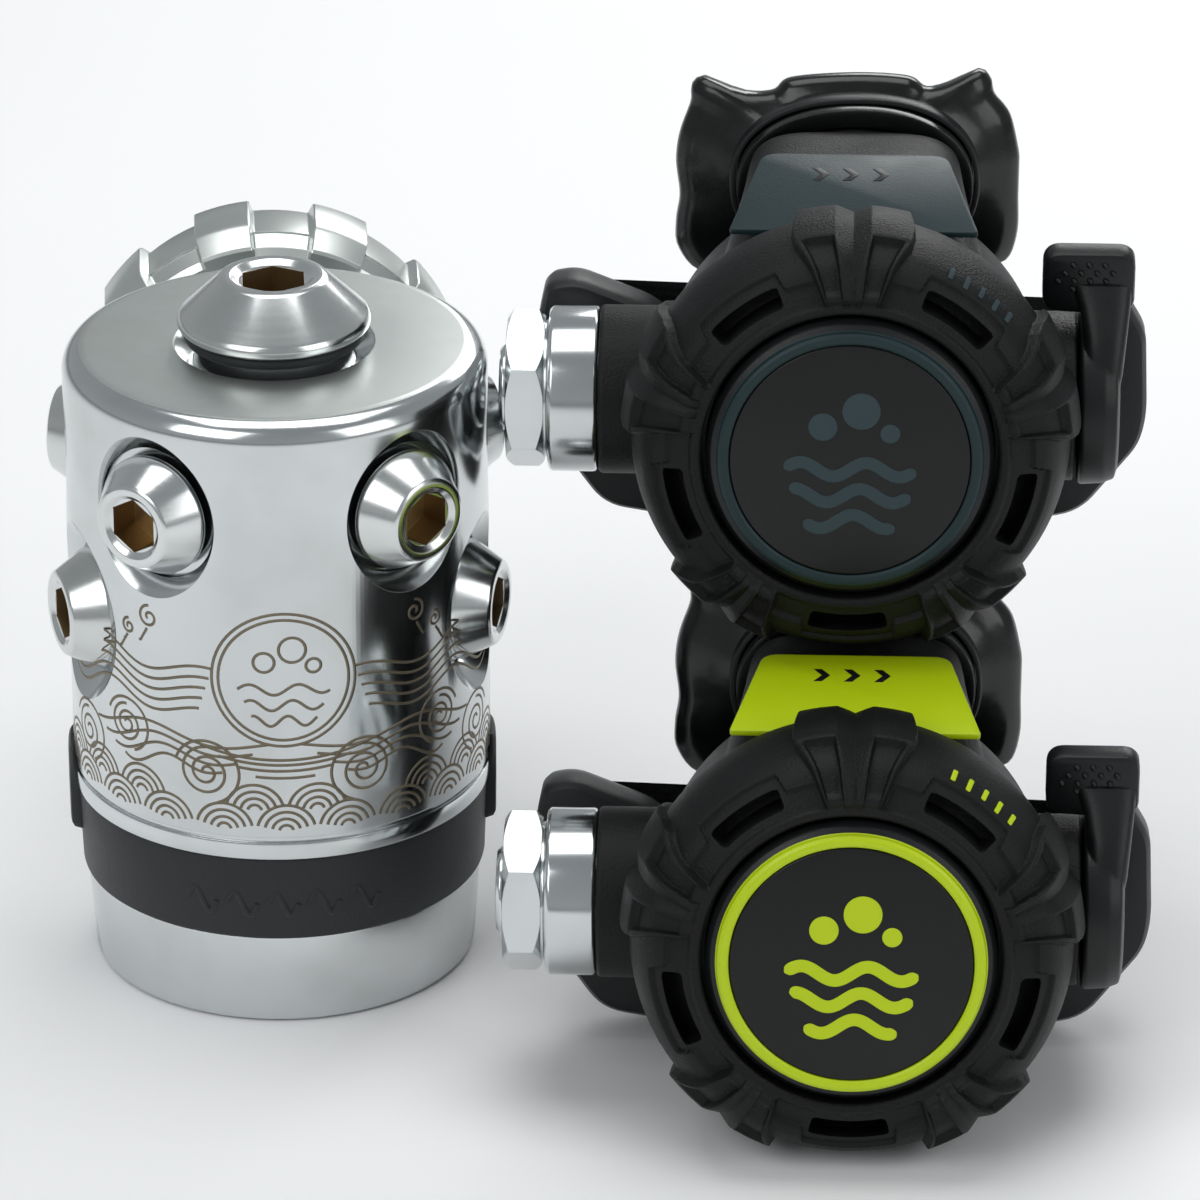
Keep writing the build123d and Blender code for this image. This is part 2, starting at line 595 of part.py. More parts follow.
FIRST_STAGE = {
    "first_stage_body": first_stage_body,
    "diaphragm_cap": diaphragm_cap,
    "diaphragm_clamp": diaphragm_clamp,
    "grip_band": grip_band,
    "end_plug": end_plug,
    "low_pressure_plugs": low_pressure_plugs,
    "high_pressure_plugs": high_pressure_plugs,
    "plug_orings": plug_orings,
    "din_nozzle": din_nozzle,
    "din_screw": din_screw,
    "din_handwheel": din_handwheel,
    "din_oring": din_oring,
    "inlet_filter": inlet_filter,
    "main_valve": main_valve,
    "main_valve_spring": main_valve_spring,
    "valve_lifter": valve_lifter,
    "main_diaphragm": main_diaphragm,
    "spring_pad": spring_pad,
    "main_spring": main_spring,
    "spring_adjuster": spring_adjuster,
    "hydrostatic_transmitter": hydrostatic_transmitter,
    "environmental_diaphragm": environmental_diaphragm,
}


def save(shape, name):
    """Write one node; a list becomes a group of separate solids."""
    if isinstance(shape, list):
        shape = Compound(children=shape)
    export_step(shape, "parts/" + name + ".step")


os.makedirs("parts", exist_ok=True)
for name, make in FIRST_STAGE.items():
    save(make(), name)

primary_place = Pos(*PRIMARY_AT) * Rot(0, 0, PRIMARY_TURN) * Rot(PRIMARY_TILT, 0, 0)
octopus_place = Pos(*OCTOPUS_AT) * Rot(0, 0, OCTOPUS_TURN) * Rot(OCTOPUS_TILT, 0, 0)
for name, make in SECOND_STAGE.items():
    piece = make()
    save(primary_place * piece, "primary_" + name)
    save(octopus_place * piece, "octopus_" + name)
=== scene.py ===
"""Looks for the scuba regulator set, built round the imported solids. Metres, row frame."""

import json
from math import atan2, cos, hypot, pi, radians, sin, sqrt

import bmesh
import bpy
from mathutils import Matrix, Vector


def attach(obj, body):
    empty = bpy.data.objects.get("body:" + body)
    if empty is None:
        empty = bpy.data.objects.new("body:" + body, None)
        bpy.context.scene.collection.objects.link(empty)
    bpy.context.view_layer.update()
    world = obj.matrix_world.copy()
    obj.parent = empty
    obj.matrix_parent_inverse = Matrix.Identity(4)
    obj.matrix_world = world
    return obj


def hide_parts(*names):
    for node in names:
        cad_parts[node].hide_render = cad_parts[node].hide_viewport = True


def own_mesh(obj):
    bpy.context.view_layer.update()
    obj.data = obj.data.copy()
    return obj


MM = 0.001
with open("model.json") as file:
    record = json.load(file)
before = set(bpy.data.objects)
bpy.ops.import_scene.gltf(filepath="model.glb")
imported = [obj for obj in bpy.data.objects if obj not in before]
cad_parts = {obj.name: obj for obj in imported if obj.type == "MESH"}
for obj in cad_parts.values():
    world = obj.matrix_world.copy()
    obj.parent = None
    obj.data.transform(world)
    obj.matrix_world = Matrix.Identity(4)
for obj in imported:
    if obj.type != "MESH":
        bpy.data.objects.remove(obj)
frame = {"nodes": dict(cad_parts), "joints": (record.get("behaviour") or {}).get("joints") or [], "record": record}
JOINTS = {j["name"]: j for j in frame["joints"]}
SLOT_OF = {s["node"]: s["material_slot"] for s in frame["record"]["subparts"]}
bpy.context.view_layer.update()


# ------------------------------------------------------------------ frames
def offset(x, y, z):
    """Shift as a matrix."""
    return Matrix.Translation((x, y, z))


def spin(degrees, axis):
    """Turn about one axis as a matrix."""
    return Matrix.Rotation(radians(degrees), 4, axis)


def unit_matrix(unit):
    """Own frame of a second stage: x to the wearer's left, y back, z up, in millimetres."""
    turn = JOINTS[unit + "_venturi_turn"]
    x = Vector(JOINTS[unit + "_poppet_slide"]["axis"])
    y = Vector(JOINTS[unit + "_purge_press"]["axis"])
    z = x.cross(y)
    m = Matrix((x, y, z)).transposed().to_4x4()
    m.translation = Vector(turn["pos_m"]) - (33.0 * x + 27.0 * y + 0.5 * z) * MM
    return m @ UP


def port(angle, level):
    """Frame of a port in millimetres: z radially outward, angle from the front."""
    return offset(0, 0, level) @ spin(angle, "Z") @ spin(90, "X")


UP = Matrix.Scale(MM, 4)
UNITS = {"primary": unit_matrix("primary"), "octopus": unit_matrix("octopus")}
DIN_Z = JOINTS["din_wheel_spin"]["pos_m"][2] / MM
DIN_AXIS = offset(0, 0, DIN_Z)
DIN_BACK = DIN_AXIS @ spin(-90, "X")
ALONG_Y = spin(-90, "X") @ spin(180, "Z")
ALONG_X = spin(90, "Y")
# In a second stage's own frame: the air barrel's axis, the mouthpiece's lean, the thumb pad,
# the sloping flat of the neck and the trim plate on it.
BARREL_AXIS = offset(0, 27.0, 0.5)
MOUTH_Z = 21.0
MOUTH_ROLL = offset(0, 0, MOUTH_Z) @ spin(-1.6, "Y") @ offset(0, 0, -MOUTH_Z)
PAD = offset(31.2, 24.2, 17.8) @ spin(14, "X")
FLAT = offset(0, 17.4, 25.0) @ spin(13.4, "X")
PLATE = offset(0, 17.4, 25.06) @ spin(13.4, "X")
OUTLET_Z = -13.0


# ------------------------------------------------------------------ colours and materials
def linear(hex_colour):
    """sRGB hex to a linear RGBA tuple."""
    parts = [int(hex_colour[i:i + 2], 16) / 255 for i in (1, 3, 5)]
    out = [c / 12.92 if c <= 0.04045 else ((c + 0.055) / 1.055) ** 2.4 for c in parts]
    return (*out, 1.0)


class Tree:
    """Small helper round a node tree: adds nodes with their settings and links."""

    def __init__(self, tree):
        self.tree = tree

    def feed(self, node, inputs):
        """Give inputs their values, or link them to sockets."""
        for name, value in inputs.items():
            if isinstance(value, bpy.types.NodeSocket):
                self.tree.links.new(value, node.inputs[name])
            else:
                node.inputs[name].default_value = value
        return node

    def add(self, kind, inputs=None, **settings):
        """Add a node, set its properties, then its inputs."""
        node = self.tree.nodes.new(kind)
        for name, value in settings.items():
            setattr(node, name, value)
        return self.feed(node, inputs or {})

    def noise(self, coords, per_mm, detail=3.0, roughness=0.5):
        """Noise whose feature size is given in features per millimetre."""
        inputs = {"Vector": coords, "Scale": per_mm / MM, "Detail": detail, "Roughness": roughness}
        return self.add("ShaderNodeTexNoise", inputs).outputs[0]

    def ramp(self, value, low, high, to_low=0.0, to_high=1.0):
        """Clamped remap of a value."""
        inputs = {"Value": value, "From Min": low, "From Max": high, "To Min": to_low, "To Max": to_high}
        return self.add("ShaderNodeMapRange", inputs).outputs[0]

    def mix(self, factor, a, b):
        """Mix two colours."""
        node = self.add("ShaderNodeMix", {0: factor}, data_type="RGBA")
        return self.feed(node, {6: a, 7: b}).outputs[2]

    def math(self, operation, a, b=0.0):
        """One maths step."""
        return self.add("ShaderNodeMath", {0: a, 1: b}, operation=operation).outputs[0]

    def relief(self, height, depth, edge):
        """Normal of a bump of the given depth over edges softened to a radius, in millimetres."""
        soft = self.add("ShaderNodeBevel", {"Radius": edge * MM}, samples=4).outputs[0]
        inputs = {"Height": height, "Distance": depth * MM, "Strength": 1.0, "Normal": soft}
        return self.add("ShaderNodeBump", inputs).outputs[0]


def new_material(name):
    """Empty material with a shader and object coordinates."""
    material = bpy.data.materials.new(name)
    material.use_nodes = True
    material.node_tree.nodes.clear()
    tree = Tree(material.node_tree)
    shader = tree.add("ShaderNodeBsdfPrincipled")
    tree.add("ShaderNodeOutputMaterial", {"Surface": shader.outputs[0]})
    return material, tree, shader, tree.add("ShaderNodeTexCoord").outputs["Object"]


def metal(name, colour, rough, smudge=0.06, tint="#8f8a80", orange_peel=0.02, lines=0.0):
    """Metal finish: polish haze, faint orange peel, and turning lines across Z if wanted."""
    material, tree, shader, coords = new_material(name)
    haze = tree.noise(coords, 0.05, 4.0, 0.6)
    roughness = tree.ramp(haze, 0.3, 0.75, rough, rough + smudge)
    height = tree.math("MULTIPLY", tree.noise(coords, 1.2, 2.0), orange_peel)
    if lines:
        mapped = tree.add("ShaderNodeMapping", {"Vector": coords, "Scale": (0.02, 0.02, 8.0)}).outputs[0]
        marks = tree.noise(mapped, 1.0, 3.0, 0.6)
        height = tree.math("ADD", height, tree.math("MULTIPLY", marks, lines))
        roughness = tree.math("ADD", roughness, tree.ramp(marks, 0.4, 0.7, 0.0, 0.05))
    tree.feed(shader, {
        "Base Color": tree.mix(tree.ramp(haze, 0.45, 0.75, 0.0, 0.22), linear(colour), linear(tint)),
        "Metallic": 1.0, "Roughness": roughness, "Normal": tree.relief(height, 0.02, 0.12)})
    return material


def moulded(name, colour, rough, grain_per_mm, grain, worn, sheen=0.0, coat=0.0, haze=0.08, gloss=0.5):
    """Moulded plastic or rubber: spark-eroded grain, uneven gloss and faintly paler rubbed patches."""
    material, tree, shader, coords = new_material(name)
    patch = tree.noise(coords, 0.08, 5.0, 0.6)
    grit = tree.noise(coords, grain_per_mm, 2.0, 0.7)
    speck = tree.add("ShaderNodeTexVoronoi", {"Vector": coords, "Scale": grain_per_mm * 0.8 / MM}).outputs[0]
    base = tree.mix(tree.ramp(patch, 0.45, 0.8, 0.0, 0.25), linear(colour), linear(worn))
    height = tree.math("ADD", grit, tree.math("MULTIPLY", speck, 0.6))
    tree.feed(shader, {
        "Base Color": tree.mix(tree.ramp(grit, 0.35, 0.7, 0.0, 0.12), base, linear(worn)),
        "Roughness": tree.ramp(patch, 0.3, 0.75, rough - haze, rough + haze),
        "Specular IOR Level": gloss, "Sheen Weight": sheen, "Coat Weight": coat,
        "Coat Roughness": 0.12 if coat else 0.03, "Normal": tree.relief(height, grain, 0.2)})
    return material


# Bright nickel-chrome plate on turned brass, buffed before plating.
CHROME = metal("bright_chrome_plate", "#d3d7d8", 0.13, smudge=0.06, orange_peel=0.012)
# The same plate over a finely bead-blasted face, so reflections are soft.
SATIN = metal("satin_chrome_plate", "#d6dbd8", 0.3, smudge=0.06, orange_peel=0.03)
# Chrome plate over coarse turning on the plug cones.
TURNED = metal("turned_chrome_plate", "#dadddd", 0.15, lines=0.03)
# Brass bores seen through thin plate, dull and brown.
SOCKET = metal("bare_bronze_socket", "#a08a66", 0.34, smudge=0.15, tint="#4a3c2a", orange_peel=0.2)
# Machined free-cutting brass of the inner valve parts.
BRASS = metal("machined_brass", "#b5965a", 0.22, lines=0.03, tint="#7a6238")
# Stainless spring wire, drawn and passivated.
SPRING = metal("drawn_spring_wire", "#a9acad", 0.24, tint="#6c6a66")
# Sintered bronze balls of the inlet filter.
SINTER = metal("sintered_bronze", "#8d6e48", 0.55, orange_peel=3.0, tint="#54402a")
# Laser-darkened line cut through the plate.
ENGRAVED = metal("engraved_line", "#857d6c", 0.42, smudge=0.12, tint="#6d573a", orange_peel=0.6)
# Glass-filled nylon from a spark-eroded mould.
NYLON = moulded("black_glass_filled_nylon", "#0d0e0e", 0.52, 3.2, 0.07, worn="#1c1d1e", gloss=0.22)
# Smooth nylon of the levers and button skirt.
NYLON_FINE = moulded("black_fine_nylon", "#0c0e0f", 0.4, 5.0, 0.02, worn="#1a1c1e", gloss=0.35)
# Soft moulded rubber with a dull bloom.
RUBBER = moulded("black_moulded_rubber", "#1d2022", 0.55, 2.4, 0.03, worn="#2d3134", sheen=0.1, gloss=0.35)
# Soft exhaust rubber, slightly smoother.
TEE_RUBBER = moulded("soft_exhaust_rubber", "#121516", 0.46, 3.0, 0.02, worn="#202527", sheen=0.06,
                     gloss=0.35)
# Compression-moulded black silicone with a polished mould face.
SILICONE = moulded("black_silicone", "#060807", 0.24, 0.8, 0.02, worn="#0e1110", coat=0.2, haze=0.06,
                   gloss=0.4)
# Translucent silicone of diaphragm and exhaust flap.
CLEAR = moulded("pale_silicone", "#b9bcb8", 0.35, 1.5, 0.02, worn="#d2d4d0", coat=0.2)
# Dark teal moulded trim.
TEAL = moulded("dark_teal_plastic", "#1c2d30", 0.44, 3.0, 0.02, worn="#25373a", gloss=0.25)
# Bright lime moulded trim.
LIME = moulded("lime_plastic", "#b4cc0a", 0.34, 3.0, 0.02, worn="#c0d420", gloss=0.4)
# Printed ink of the marks, slightly raised on the badge.
TEAL_INK = moulded("dark_teal_ink", "#2a3a3f", 0.45, 6.0, 0.01, worn="#33444a", gloss=0.35)
LIME_INK = moulded("lime_ink", "#b6cc0c", 0.42, 6.0, 0.01, worn="#c2d522", gloss=0.35)
# Smooth badge disc.
BADGE = moulded("black_badge_film", "#090a0a", 0.34, 6.0, 0.008, worn="#111213", gloss=0.35)


# ------------------------------------------------------------------ mesh helpers
def add_object(name, data):
    """Link a new object for the data, at the origin."""
    obj = bpy.data.objects.new(name, data)
    bpy.context.scene.collection.objects.link(obj)
    return obj


def weld(mesh, distance):
    """Merge doubled points and turn every face outward."""
    bm = bmesh.new()
    bm.from_mesh(mesh)
    bmesh.ops.remove_doubles(bm, verts=bm.verts, dist=distance)
    bmesh.ops.recalc_face_normals(bm, faces=bm.faces)
    bm.to_mesh(mesh)
    bm.free()


def piece(name, part, matrix, materials, body, replaced, sharp, pick=None):
    """Make a finished object from (vertices, faces) in millimetres and let it ride on a body.

    Edges over the sharp angle stay crisp; pick gives a face's material from its middle."""
    mesh = bpy.data.meshes.new(name)
    mesh.from_pydata([matrix @ Vector(v) for v in part[0]], [], part[1])
    mesh.validate()
    weld(mesh, 1e-7)
    for material in materials:
        mesh.materials.append(material)
    if pick:
        inverse = matrix.inverted()
        for face in mesh.polygons:
            face.material_index = pick(inverse @ face.center)
    mesh.shade_smooth()
    obj = add_object(name, mesh)
    mesh.set_sharp_from_angle(angle=radians(sharp))
    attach(obj, body)
    if replaced:
        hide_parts(replaced)


def join(*parts):
    """Join several (vertices, faces) into one."""
    verts, faces = [], []
    for v, f in parts:
        base = len(verts)
        verts += [tuple(p) for p in v]
        faces += [tuple(i + base for i in face) for face in f]
    return verts, faces


def moved(part, matrix):
    """Transform (vertices, faces)."""
    return [tuple(matrix @ Vector(v)) for v in part[0]], part[1]


def skin(rings, wrap=False):
    """Closed surface through rings of equal point counts, capped at the ends or wrapped round."""
    n, count = len(rings[0]), len(rings)
    verts = [tuple(p) for ring in rings for p in ring]
    faces = []
    for i in range(count if wrap else count - 1):
        a, b = i * n, ((i + 1) % count) * n
        for j in range(n):
            k = (j + 1) % n
            faces.append((a + j, a + k, b + k, b + j))
    if not wrap:
        faces.append(tuple(range(n))[::-1])
        faces.append(tuple(range((count - 1) * n, count * n)))
    return verts, faces


def ngon(count, radius, start=0.0):
    """Regular outline, its first corner at the start angle in degrees."""
    angles = [radians(start + 360 * i / count) for i in range(count)]
    return [(radius * cos(a), radius * sin(a)) for a in angles]


def around(points, a):
    """(radius, depth) points turned by an angle about the Y axis."""
    return [(r * cos(a), y, r * sin(a)) for r, y in points]


def arc(cx, cz, r, a0=0, a1=360, steps=64):
    """Points of a circular arc in degrees."""
    angles = [radians(a0 + (a1 - a0) * i / steps) for i in range(steps + 1)]
    return [(cx + r * cos(a), cz + r * sin(a)) for a in angles]


def rounded(points, radius, steps=5):
    """Round the corners of a closed 2-D outline; radius per point or one for all."""
    out = []
    n = len(points)
    for i, p in enumerate(points):
        a, b = Vector(points[i - 1]), Vector(points[(i + 1) % n])
        p = Vector(p)
        r = radius[i] if isinstance(radius, (list, tuple)) else radius
        ua, ub = (a - p), (b - p)
        la, lb = ua.length, ub.length
        if r <= 0 or la < 1e-6 or lb < 1e-6:
            out.append(tuple(p))
            continue
        cut = min(r, 0.48 * la, 0.48 * lb)
        pa, pb = p + ua / la * cut, p + ub / lb * cut
        for s in range(steps + 1):
            t = s / steps
            out.append(tuple(pa * (1 - t) ** 2 + p * 2 * t * (1 - t) + pb * t * t))
    return out


def lathe(profile, segments=192, edge=0.25):
    """Turned solid from a closed (radius, height) profile with small rounded edges."""
    pts = rounded(profile, [edge if r > 0.01 else 0 for r, z in profile], 3)
    pts = [(max(r, 0.0), z) for r, z in pts]
    rings = []
    for i in range(segments):
        a = 2 * pi * i / segments
        rings.append([(r * cos(a), r * sin(a), z) for r, z in pts])
    n = len(pts)
    verts = [p for ring in rings for p in ring]
    faces = []
    for i in range(segments):
        a, b = i * n, ((i + 1) % segments) * n
        for j in range(n):
            k = (j + 1) % n
            if pts[j][0] < 1e-9 and pts[k][0] < 1e-9:
                continue
            faces.append((a + j, b + j, b + k, a + k))
    return verts, faces


def prism(outline, z0, z1, bevel=0.3):
    """Upright prism of a 2-D outline with bevelled rims."""
    def inset(points, d):
        out = []
        n = len(points)
        for i in range(n):
            a, p, b = Vector(points[i - 1]), Vector(points[i]), Vector(points[(i + 1) % n])
            u, v = (p - a).normalized(), (b - p).normalized()
            normal = Vector((-(u.y + v.y), u.x + v.x))
            if normal.length < 1e-6:
                normal = Vector((-u.y, u.x))
            normal.normalize()
            scale = 1 / max(0.5, normal.dot(Vector((-u.y, u.x))))
            out.append(p + normal * d * scale)
        return out
    area = sum(outline[i - 1][0] * p[1] - p[0] * outline[i - 1][1] for i, p in enumerate(outline))
    if area < 0:
        outline = outline[::-1]
    steps = ((bevel, 0.0), (bevel * 0.3, bevel * 0.3), (0.0, bevel))
    rings = [[(p[0], p[1], z0 + dz) for p in inset(outline, d)] for d, dz in steps]
    rings += [[(p[0], p[1], z1 - dz) for p in inset(outline, d)] for d, dz in reversed(steps)]
    return skin(rings)


def boolean(target, cutters, operation="DIFFERENCE"):
    """Apply exact booleans between (vertices, faces) parts and return the result."""
    def temp(part, name):
        mesh = bpy.data.meshes.new(name)
        mesh.from_pydata([Vector(v) for v in part[0]], [], part[1])
        weld(mesh, 1e-5)
        return add_object(name, mesh)
    main = temp(target, "cut_target")
    tools = [temp(c, "cut_tool") for c in cutters]
    for tool in tools:
        modifier = main.modifiers.new("cut", "BOOLEAN")
        modifier.operation = operation
        modifier.solver = "EXACT"
        modifier.object = tool
    graph = bpy.context.evaluated_depsgraph_get()
    mesh = bpy.data.meshes.new_from_object(main.evaluated_get(graph))
    part = [tuple(v.co) for v in mesh.vertices], [tuple(p.vertices) for p in mesh.polygons]
    for obj in [main, *tools]:
        old = obj.data
        bpy.data.objects.remove(obj)
        bpy.data.meshes.remove(old)
    bpy.data.meshes.remove(mesh)
    return part


# ------------------------------------------------------------------ camera, light, floor
def look(location, azimuth, pitch, lens):
    """Camera at the viewing angle of a product shot."""
    data = bpy.data.cameras.new("camera")
    data.lens = lens
    data.sensor_width = 36.0
    data.clip_start = 0.05
    data.clip_end = 20.0
    cam = add_object("camera", data)
    a, p = radians(azimuth), radians(pitch)
    ahead = Vector((sin(a) * cos(p), cos(a) * cos(p), -sin(p)))
    cam.location = Vector(location) * MM
    cam.rotation_mode = "QUATERNION"
    cam.rotation_quaternion = ahead.to_track_quat("-Z", "Y")
    bpy.context.scene.camera = cam


def area_light(name, location, target, size, power):
    """Rectangular soft light aimed at a point; millimetres."""
    data = bpy.data.lights.new(name, "AREA")
    data.shape = "RECTANGLE"
    data.size, data.size_y = size[0] * MM, size[1] * MM
    data.energy = power
    obj = add_object(name, data)
    obj.location = Vector(location) * MM
    aim = (Vector(target) - Vector(location)).normalized()
    obj.rotation_mode = "QUATERNION"
    obj.rotation_quaternion = aim.to_track_quat("-Z", "Y")


def studio():
    """Pale sweep, bright surround and four soft boxes."""
    world = bpy.data.worlds.new("studio")
    bpy.context.scene.world = world
    world.use_nodes = True
    world.node_tree.nodes.clear()
    tree = Tree(world.node_tree)
    up = tree.add("ShaderNodeTexCoord").outputs["Generated"]
    height = tree.add("ShaderNodeSeparateXYZ", {0: up}).outputs[2]
    ramp = tree.add("ShaderNodeValToRGB", {"Fac": tree.ramp(height, -1.0, 1.0)})
    stops = ramp.color_ramp.elements
    stops[0].position, stops[0].color = 0.30, linear("#d9dadb")
    stops[1].position, stops[1].color = 0.96, linear("#aeb3b6")
    for position, colour in ((0.44, "#9da1a4"), (0.49, "#8b8f92"), (0.54, "#c4c7c9"), (0.74, "#b9bdbf")):
        stop = stops.new(position)
        stop.color = linear(colour)
    seen = tree.add("ShaderNodeLightPath").outputs["Is Camera Ray"]
    around = tree.add("ShaderNodeBackground", {"Color": ramp.outputs[0], "Strength": 0.68})
    behind = tree.add("ShaderNodeBackground", {"Color": (1.0, 1.0, 1.0, 1.0), "Strength": 1.0})
    both = tree.add("ShaderNodeMixShader", {0: seen, 1: around.outputs[0], 2: behind.outputs[0]})
    tree.add("ShaderNodeOutputWorld", {"Surface": both.outputs[0]})
    bpy.context.scene.view_settings.view_transform = "Standard"
    area_light("key", (-560, -640, 720), (20, 0, 60), (620, 620), 2.9)
    area_light("fill", (680, -560, 480), (40, 0, 60), (480, 620), 1.8)
    area_light("top", (40, 60, 900), (40, 0, 60), (760, 520), 3.2)
    area_light("rim", (300, 620, 420), (60, 0, 70), (420, 260), 1.6)
    size = 2600
    verts = [(-size, -size, 0), (size, -size, 0), (size, size, 0), (-size, size, 0)]
    mesh = bpy.data.meshes.new("floor")
    mesh.from_pydata([Vector(v) * MM for v in verts], [], [(0, 1, 2, 3)])
    material, nodes, shader, coords = new_material("white_paper_sweep")
    mottled = nodes.noise(coords, 0.004, 3.0)
    nodes.feed(shader, {"Base Color": nodes.mix(mottled, linear("#fbfbfb"), linear("#f7f7f8")),
                        "Roughness": 0.9})
    mesh.materials.append(material)
    add_object("floor", mesh)


look((-9.42, -911.15, 477.95), 3.33, 25.13, 222.0)
studio()

# ------------------------------------------------------------------ carried-over solids
SLOT_LOOKS = {
    "chrome": CHROME, "brass": BRASS, "sintered_bronze": SINTER, "spring_steel": SPRING,
    "black_plastic": NYLON, "black_rubber": RUBBER, "black_silicone": SILICONE,
    "clear_silicone": CLEAR, "teal_plastic": TEAL, "lime_plastic": LIME}


def dress_carried():
    """Give every carried-over solid the finish of its record slot."""
    for name, obj in frame["nodes"].items():
        if obj.type == "MESH":
            obj.data.materials.clear()
            obj.data.materials.append(SLOT_LOOKS[SLOT_OF[name]])


dress_carried()

# ------------------------------------------------------------------ second stage pieces
LUGS = (18.0, 90.0, 162.0, 234.0, 306.0)
SLOTS = (54.0, 126.0, 198.0, 270.0, 342.0)


def smooth(points, per=6):
    """Catmull-Rom curve through 2-D points."""
    out = []
    for i in range(len(points) - 1):
        p0 = Vector(points[max(i - 1, 0)])
        p1, p2 = Vector(points[i]), Vector(points[i + 1])
        p3 = Vector(points[min(i + 2, len(points) - 1)])
        for s in range(per):
            t = s / per
            out.append(0.5 * (2 * p1 + (p2 - p0) * t + (2 * p0 - 5 * p1 + 4 * p2 - p3) * t * t
                              + (3 * p1 - p0 - 3 * p2 + p3) * t ** 3))
    out.append(Vector(points[-1]))
    return out


def clamp01(value):
    """Limit to 0..1."""
    return max(0.0, min(1.0, value))


def step(edge0, edge1, value):
    """Smooth step."""
    t = clamp01((value - edge0) / (edge1 - edge0))
    return t * t * (3 - 2 * t)


def table_value(table, s):
    """Straight-line lookup in ((s, value), ...)."""
    for (s0, v0), (s1, v1) in zip(table, table[1:]):
        if s <= s1:
            return v0 + (v1 - v0) * clamp01((s - s0) / (s1 - s0))
    return table[-1][1]


def nearest(angle, centres):
    """Signed offset in degrees from the closest centre."""
    return min(((angle - c + 180) % 360 - 180 for c in centres), key=abs)


def ring_relief(angle, r, s):
    """Height of lugs and inner step over the plain ring, along its normal; s runs over the dome."""
    off = nearest(angle, LUGS)
    lateral = abs(radians(off) * r)
    width = table_value(((-1.0, 3.5), (0.0, 3.7), (4.5, 5.4), (9.0, 7.7), (12.0, 8.2), (19.5, 7.4)), s)
    over_slot = abs(nearest(angle, SLOTS))
    edge = 26.35 - 2.3 * step(13.0, 15.0, over_slot)
    low = -0.6 * (1 - step(-0.16, 0.16, r - edge)) * step(20.6, 21.4, r)
    rise = clamp01((width - lateral) / 0.4) * step(-0.6, 0.8, s)
    if rise <= 0:
        return low
    ratio = lateral / width
    border = step(0.8, 0.86, ratio)
    spine = 1 - step(0.31, 0.36, ratio)
    crown = step(8.7, 9.3, s)
    foot = 1 - step(1.0, 2.0, s)
    high = max(border * 0.85, spine, crown, foot * 0.5)
    floor = 0.12 + 0.25 * clamp01(ratio)
    groove = clamp01(1 - lateral / (0.35 + 1.9 * clamp01(s / 9.0))) * (0.3 + 0.75 * clamp01(s / 8.0))
    height = floor + (1.4 - floor) * high - groove * 0.95
    return low * (1 - rise) + rise * height


def ring_mesh():
    """Cover ring as a dense turned surface with relief and five deep slots."""
    dome = smooth(((19.55, 4.3), (19.5, 1.75), (19.7, 1.15), (20.2, 0.92), (21.0, 0.95), (21.6, 1.1),
                   (23.5, 1.85), (25.6, 3.0), (27.1, 4.9), (28.0, 7.0), (28.7, 9.5), (28.98, 12.0),
                   (28.9, 14.5), (28.5, 16.4)), 8)
    extra = []
    for a, b in zip(dome, dome[1:]):
        extra.append(a)
        for mark in (22.22, 22.34, 24.86, 24.98, 26.1, 26.25, 26.4, 26.55):
            if min(a.x, b.x) < mark < max(a.x, b.x) and a.y < 6:
                extra.append(a.lerp(b, (mark - a.x) / (b.x - a.x)))
    extra.append(dome[-1])
    dome = extra
    travel, total = [], 0.0
    for i, p in enumerate(dome):
        total += (p - dome[i - 1]).length if i else 0.0
        travel.append(total)
    start = min((abs(p.x - 21.0) + (p.y > 3) * 9, t) for p, t in zip(dome, travel))[1]
    normals = []
    for i in range(len(dome)):
        along = dome[min(i + 1, len(dome) - 1)] - dome[max(i - 1, 0)]
        normals.append(Vector((along.y, -along.x)).normalized())
    angles = {i * 0.5 for i in range(720)}
    for centre in SLOTS:
        for side in (-1, 1):
            for mark in (12.35, 12.65, 11.9, 13.2):
                angles.add((centre + side * mark) % 360)
    angles = {(c + i * 0.25) % 360 for c in LUGS for i in range(-80, 81)} | angles
    inside = ((28.1, 16.6), (25.7, 16.6), (25.7, 8.6), (21.3, 8.6), (21.2, 4.5))
    rings = []
    for angle in sorted(angles):
        a = radians(angle)
        over_slot = abs(nearest(angle, SLOTS))
        ring = []
        for p, n, t in zip(dome, normals, travel):
            s = t - start
            r, y = p.x, p.y
            if 22.28 <= r <= 24.92 and y < 6 and over_slot < 12.5:
                corner = 0.9 - min(r - 22.28, 24.92 - r, 0.9)
                end = 12.5 - over_slot
                if end * 0.41 > 0.9 - sqrt(max(0.0, 0.81 - corner * corner)):
                    ring.append((r, y + 5.2))
                    continue
            h = ring_relief(angle, r, s) if s > -1.0 else 0.0
            ring.append((r + n.x * h, y + n.y * h))
        rings.append(around(ring + list(inside), a))
    return skin(rings, wrap=True)


def superellipse(half_w, half_h, z, y, power, count):
    """Rounded section in a plane of constant y."""
    ring = []
    for i in range(count):
        t = 2 * pi * i / count
        c, s = cos(t), sin(t)
        k = (abs(c) ** power + abs(s) ** power) ** (-1 / power)
        ring.append((half_w * c * k, y, z + half_h * s * k))
    return ring


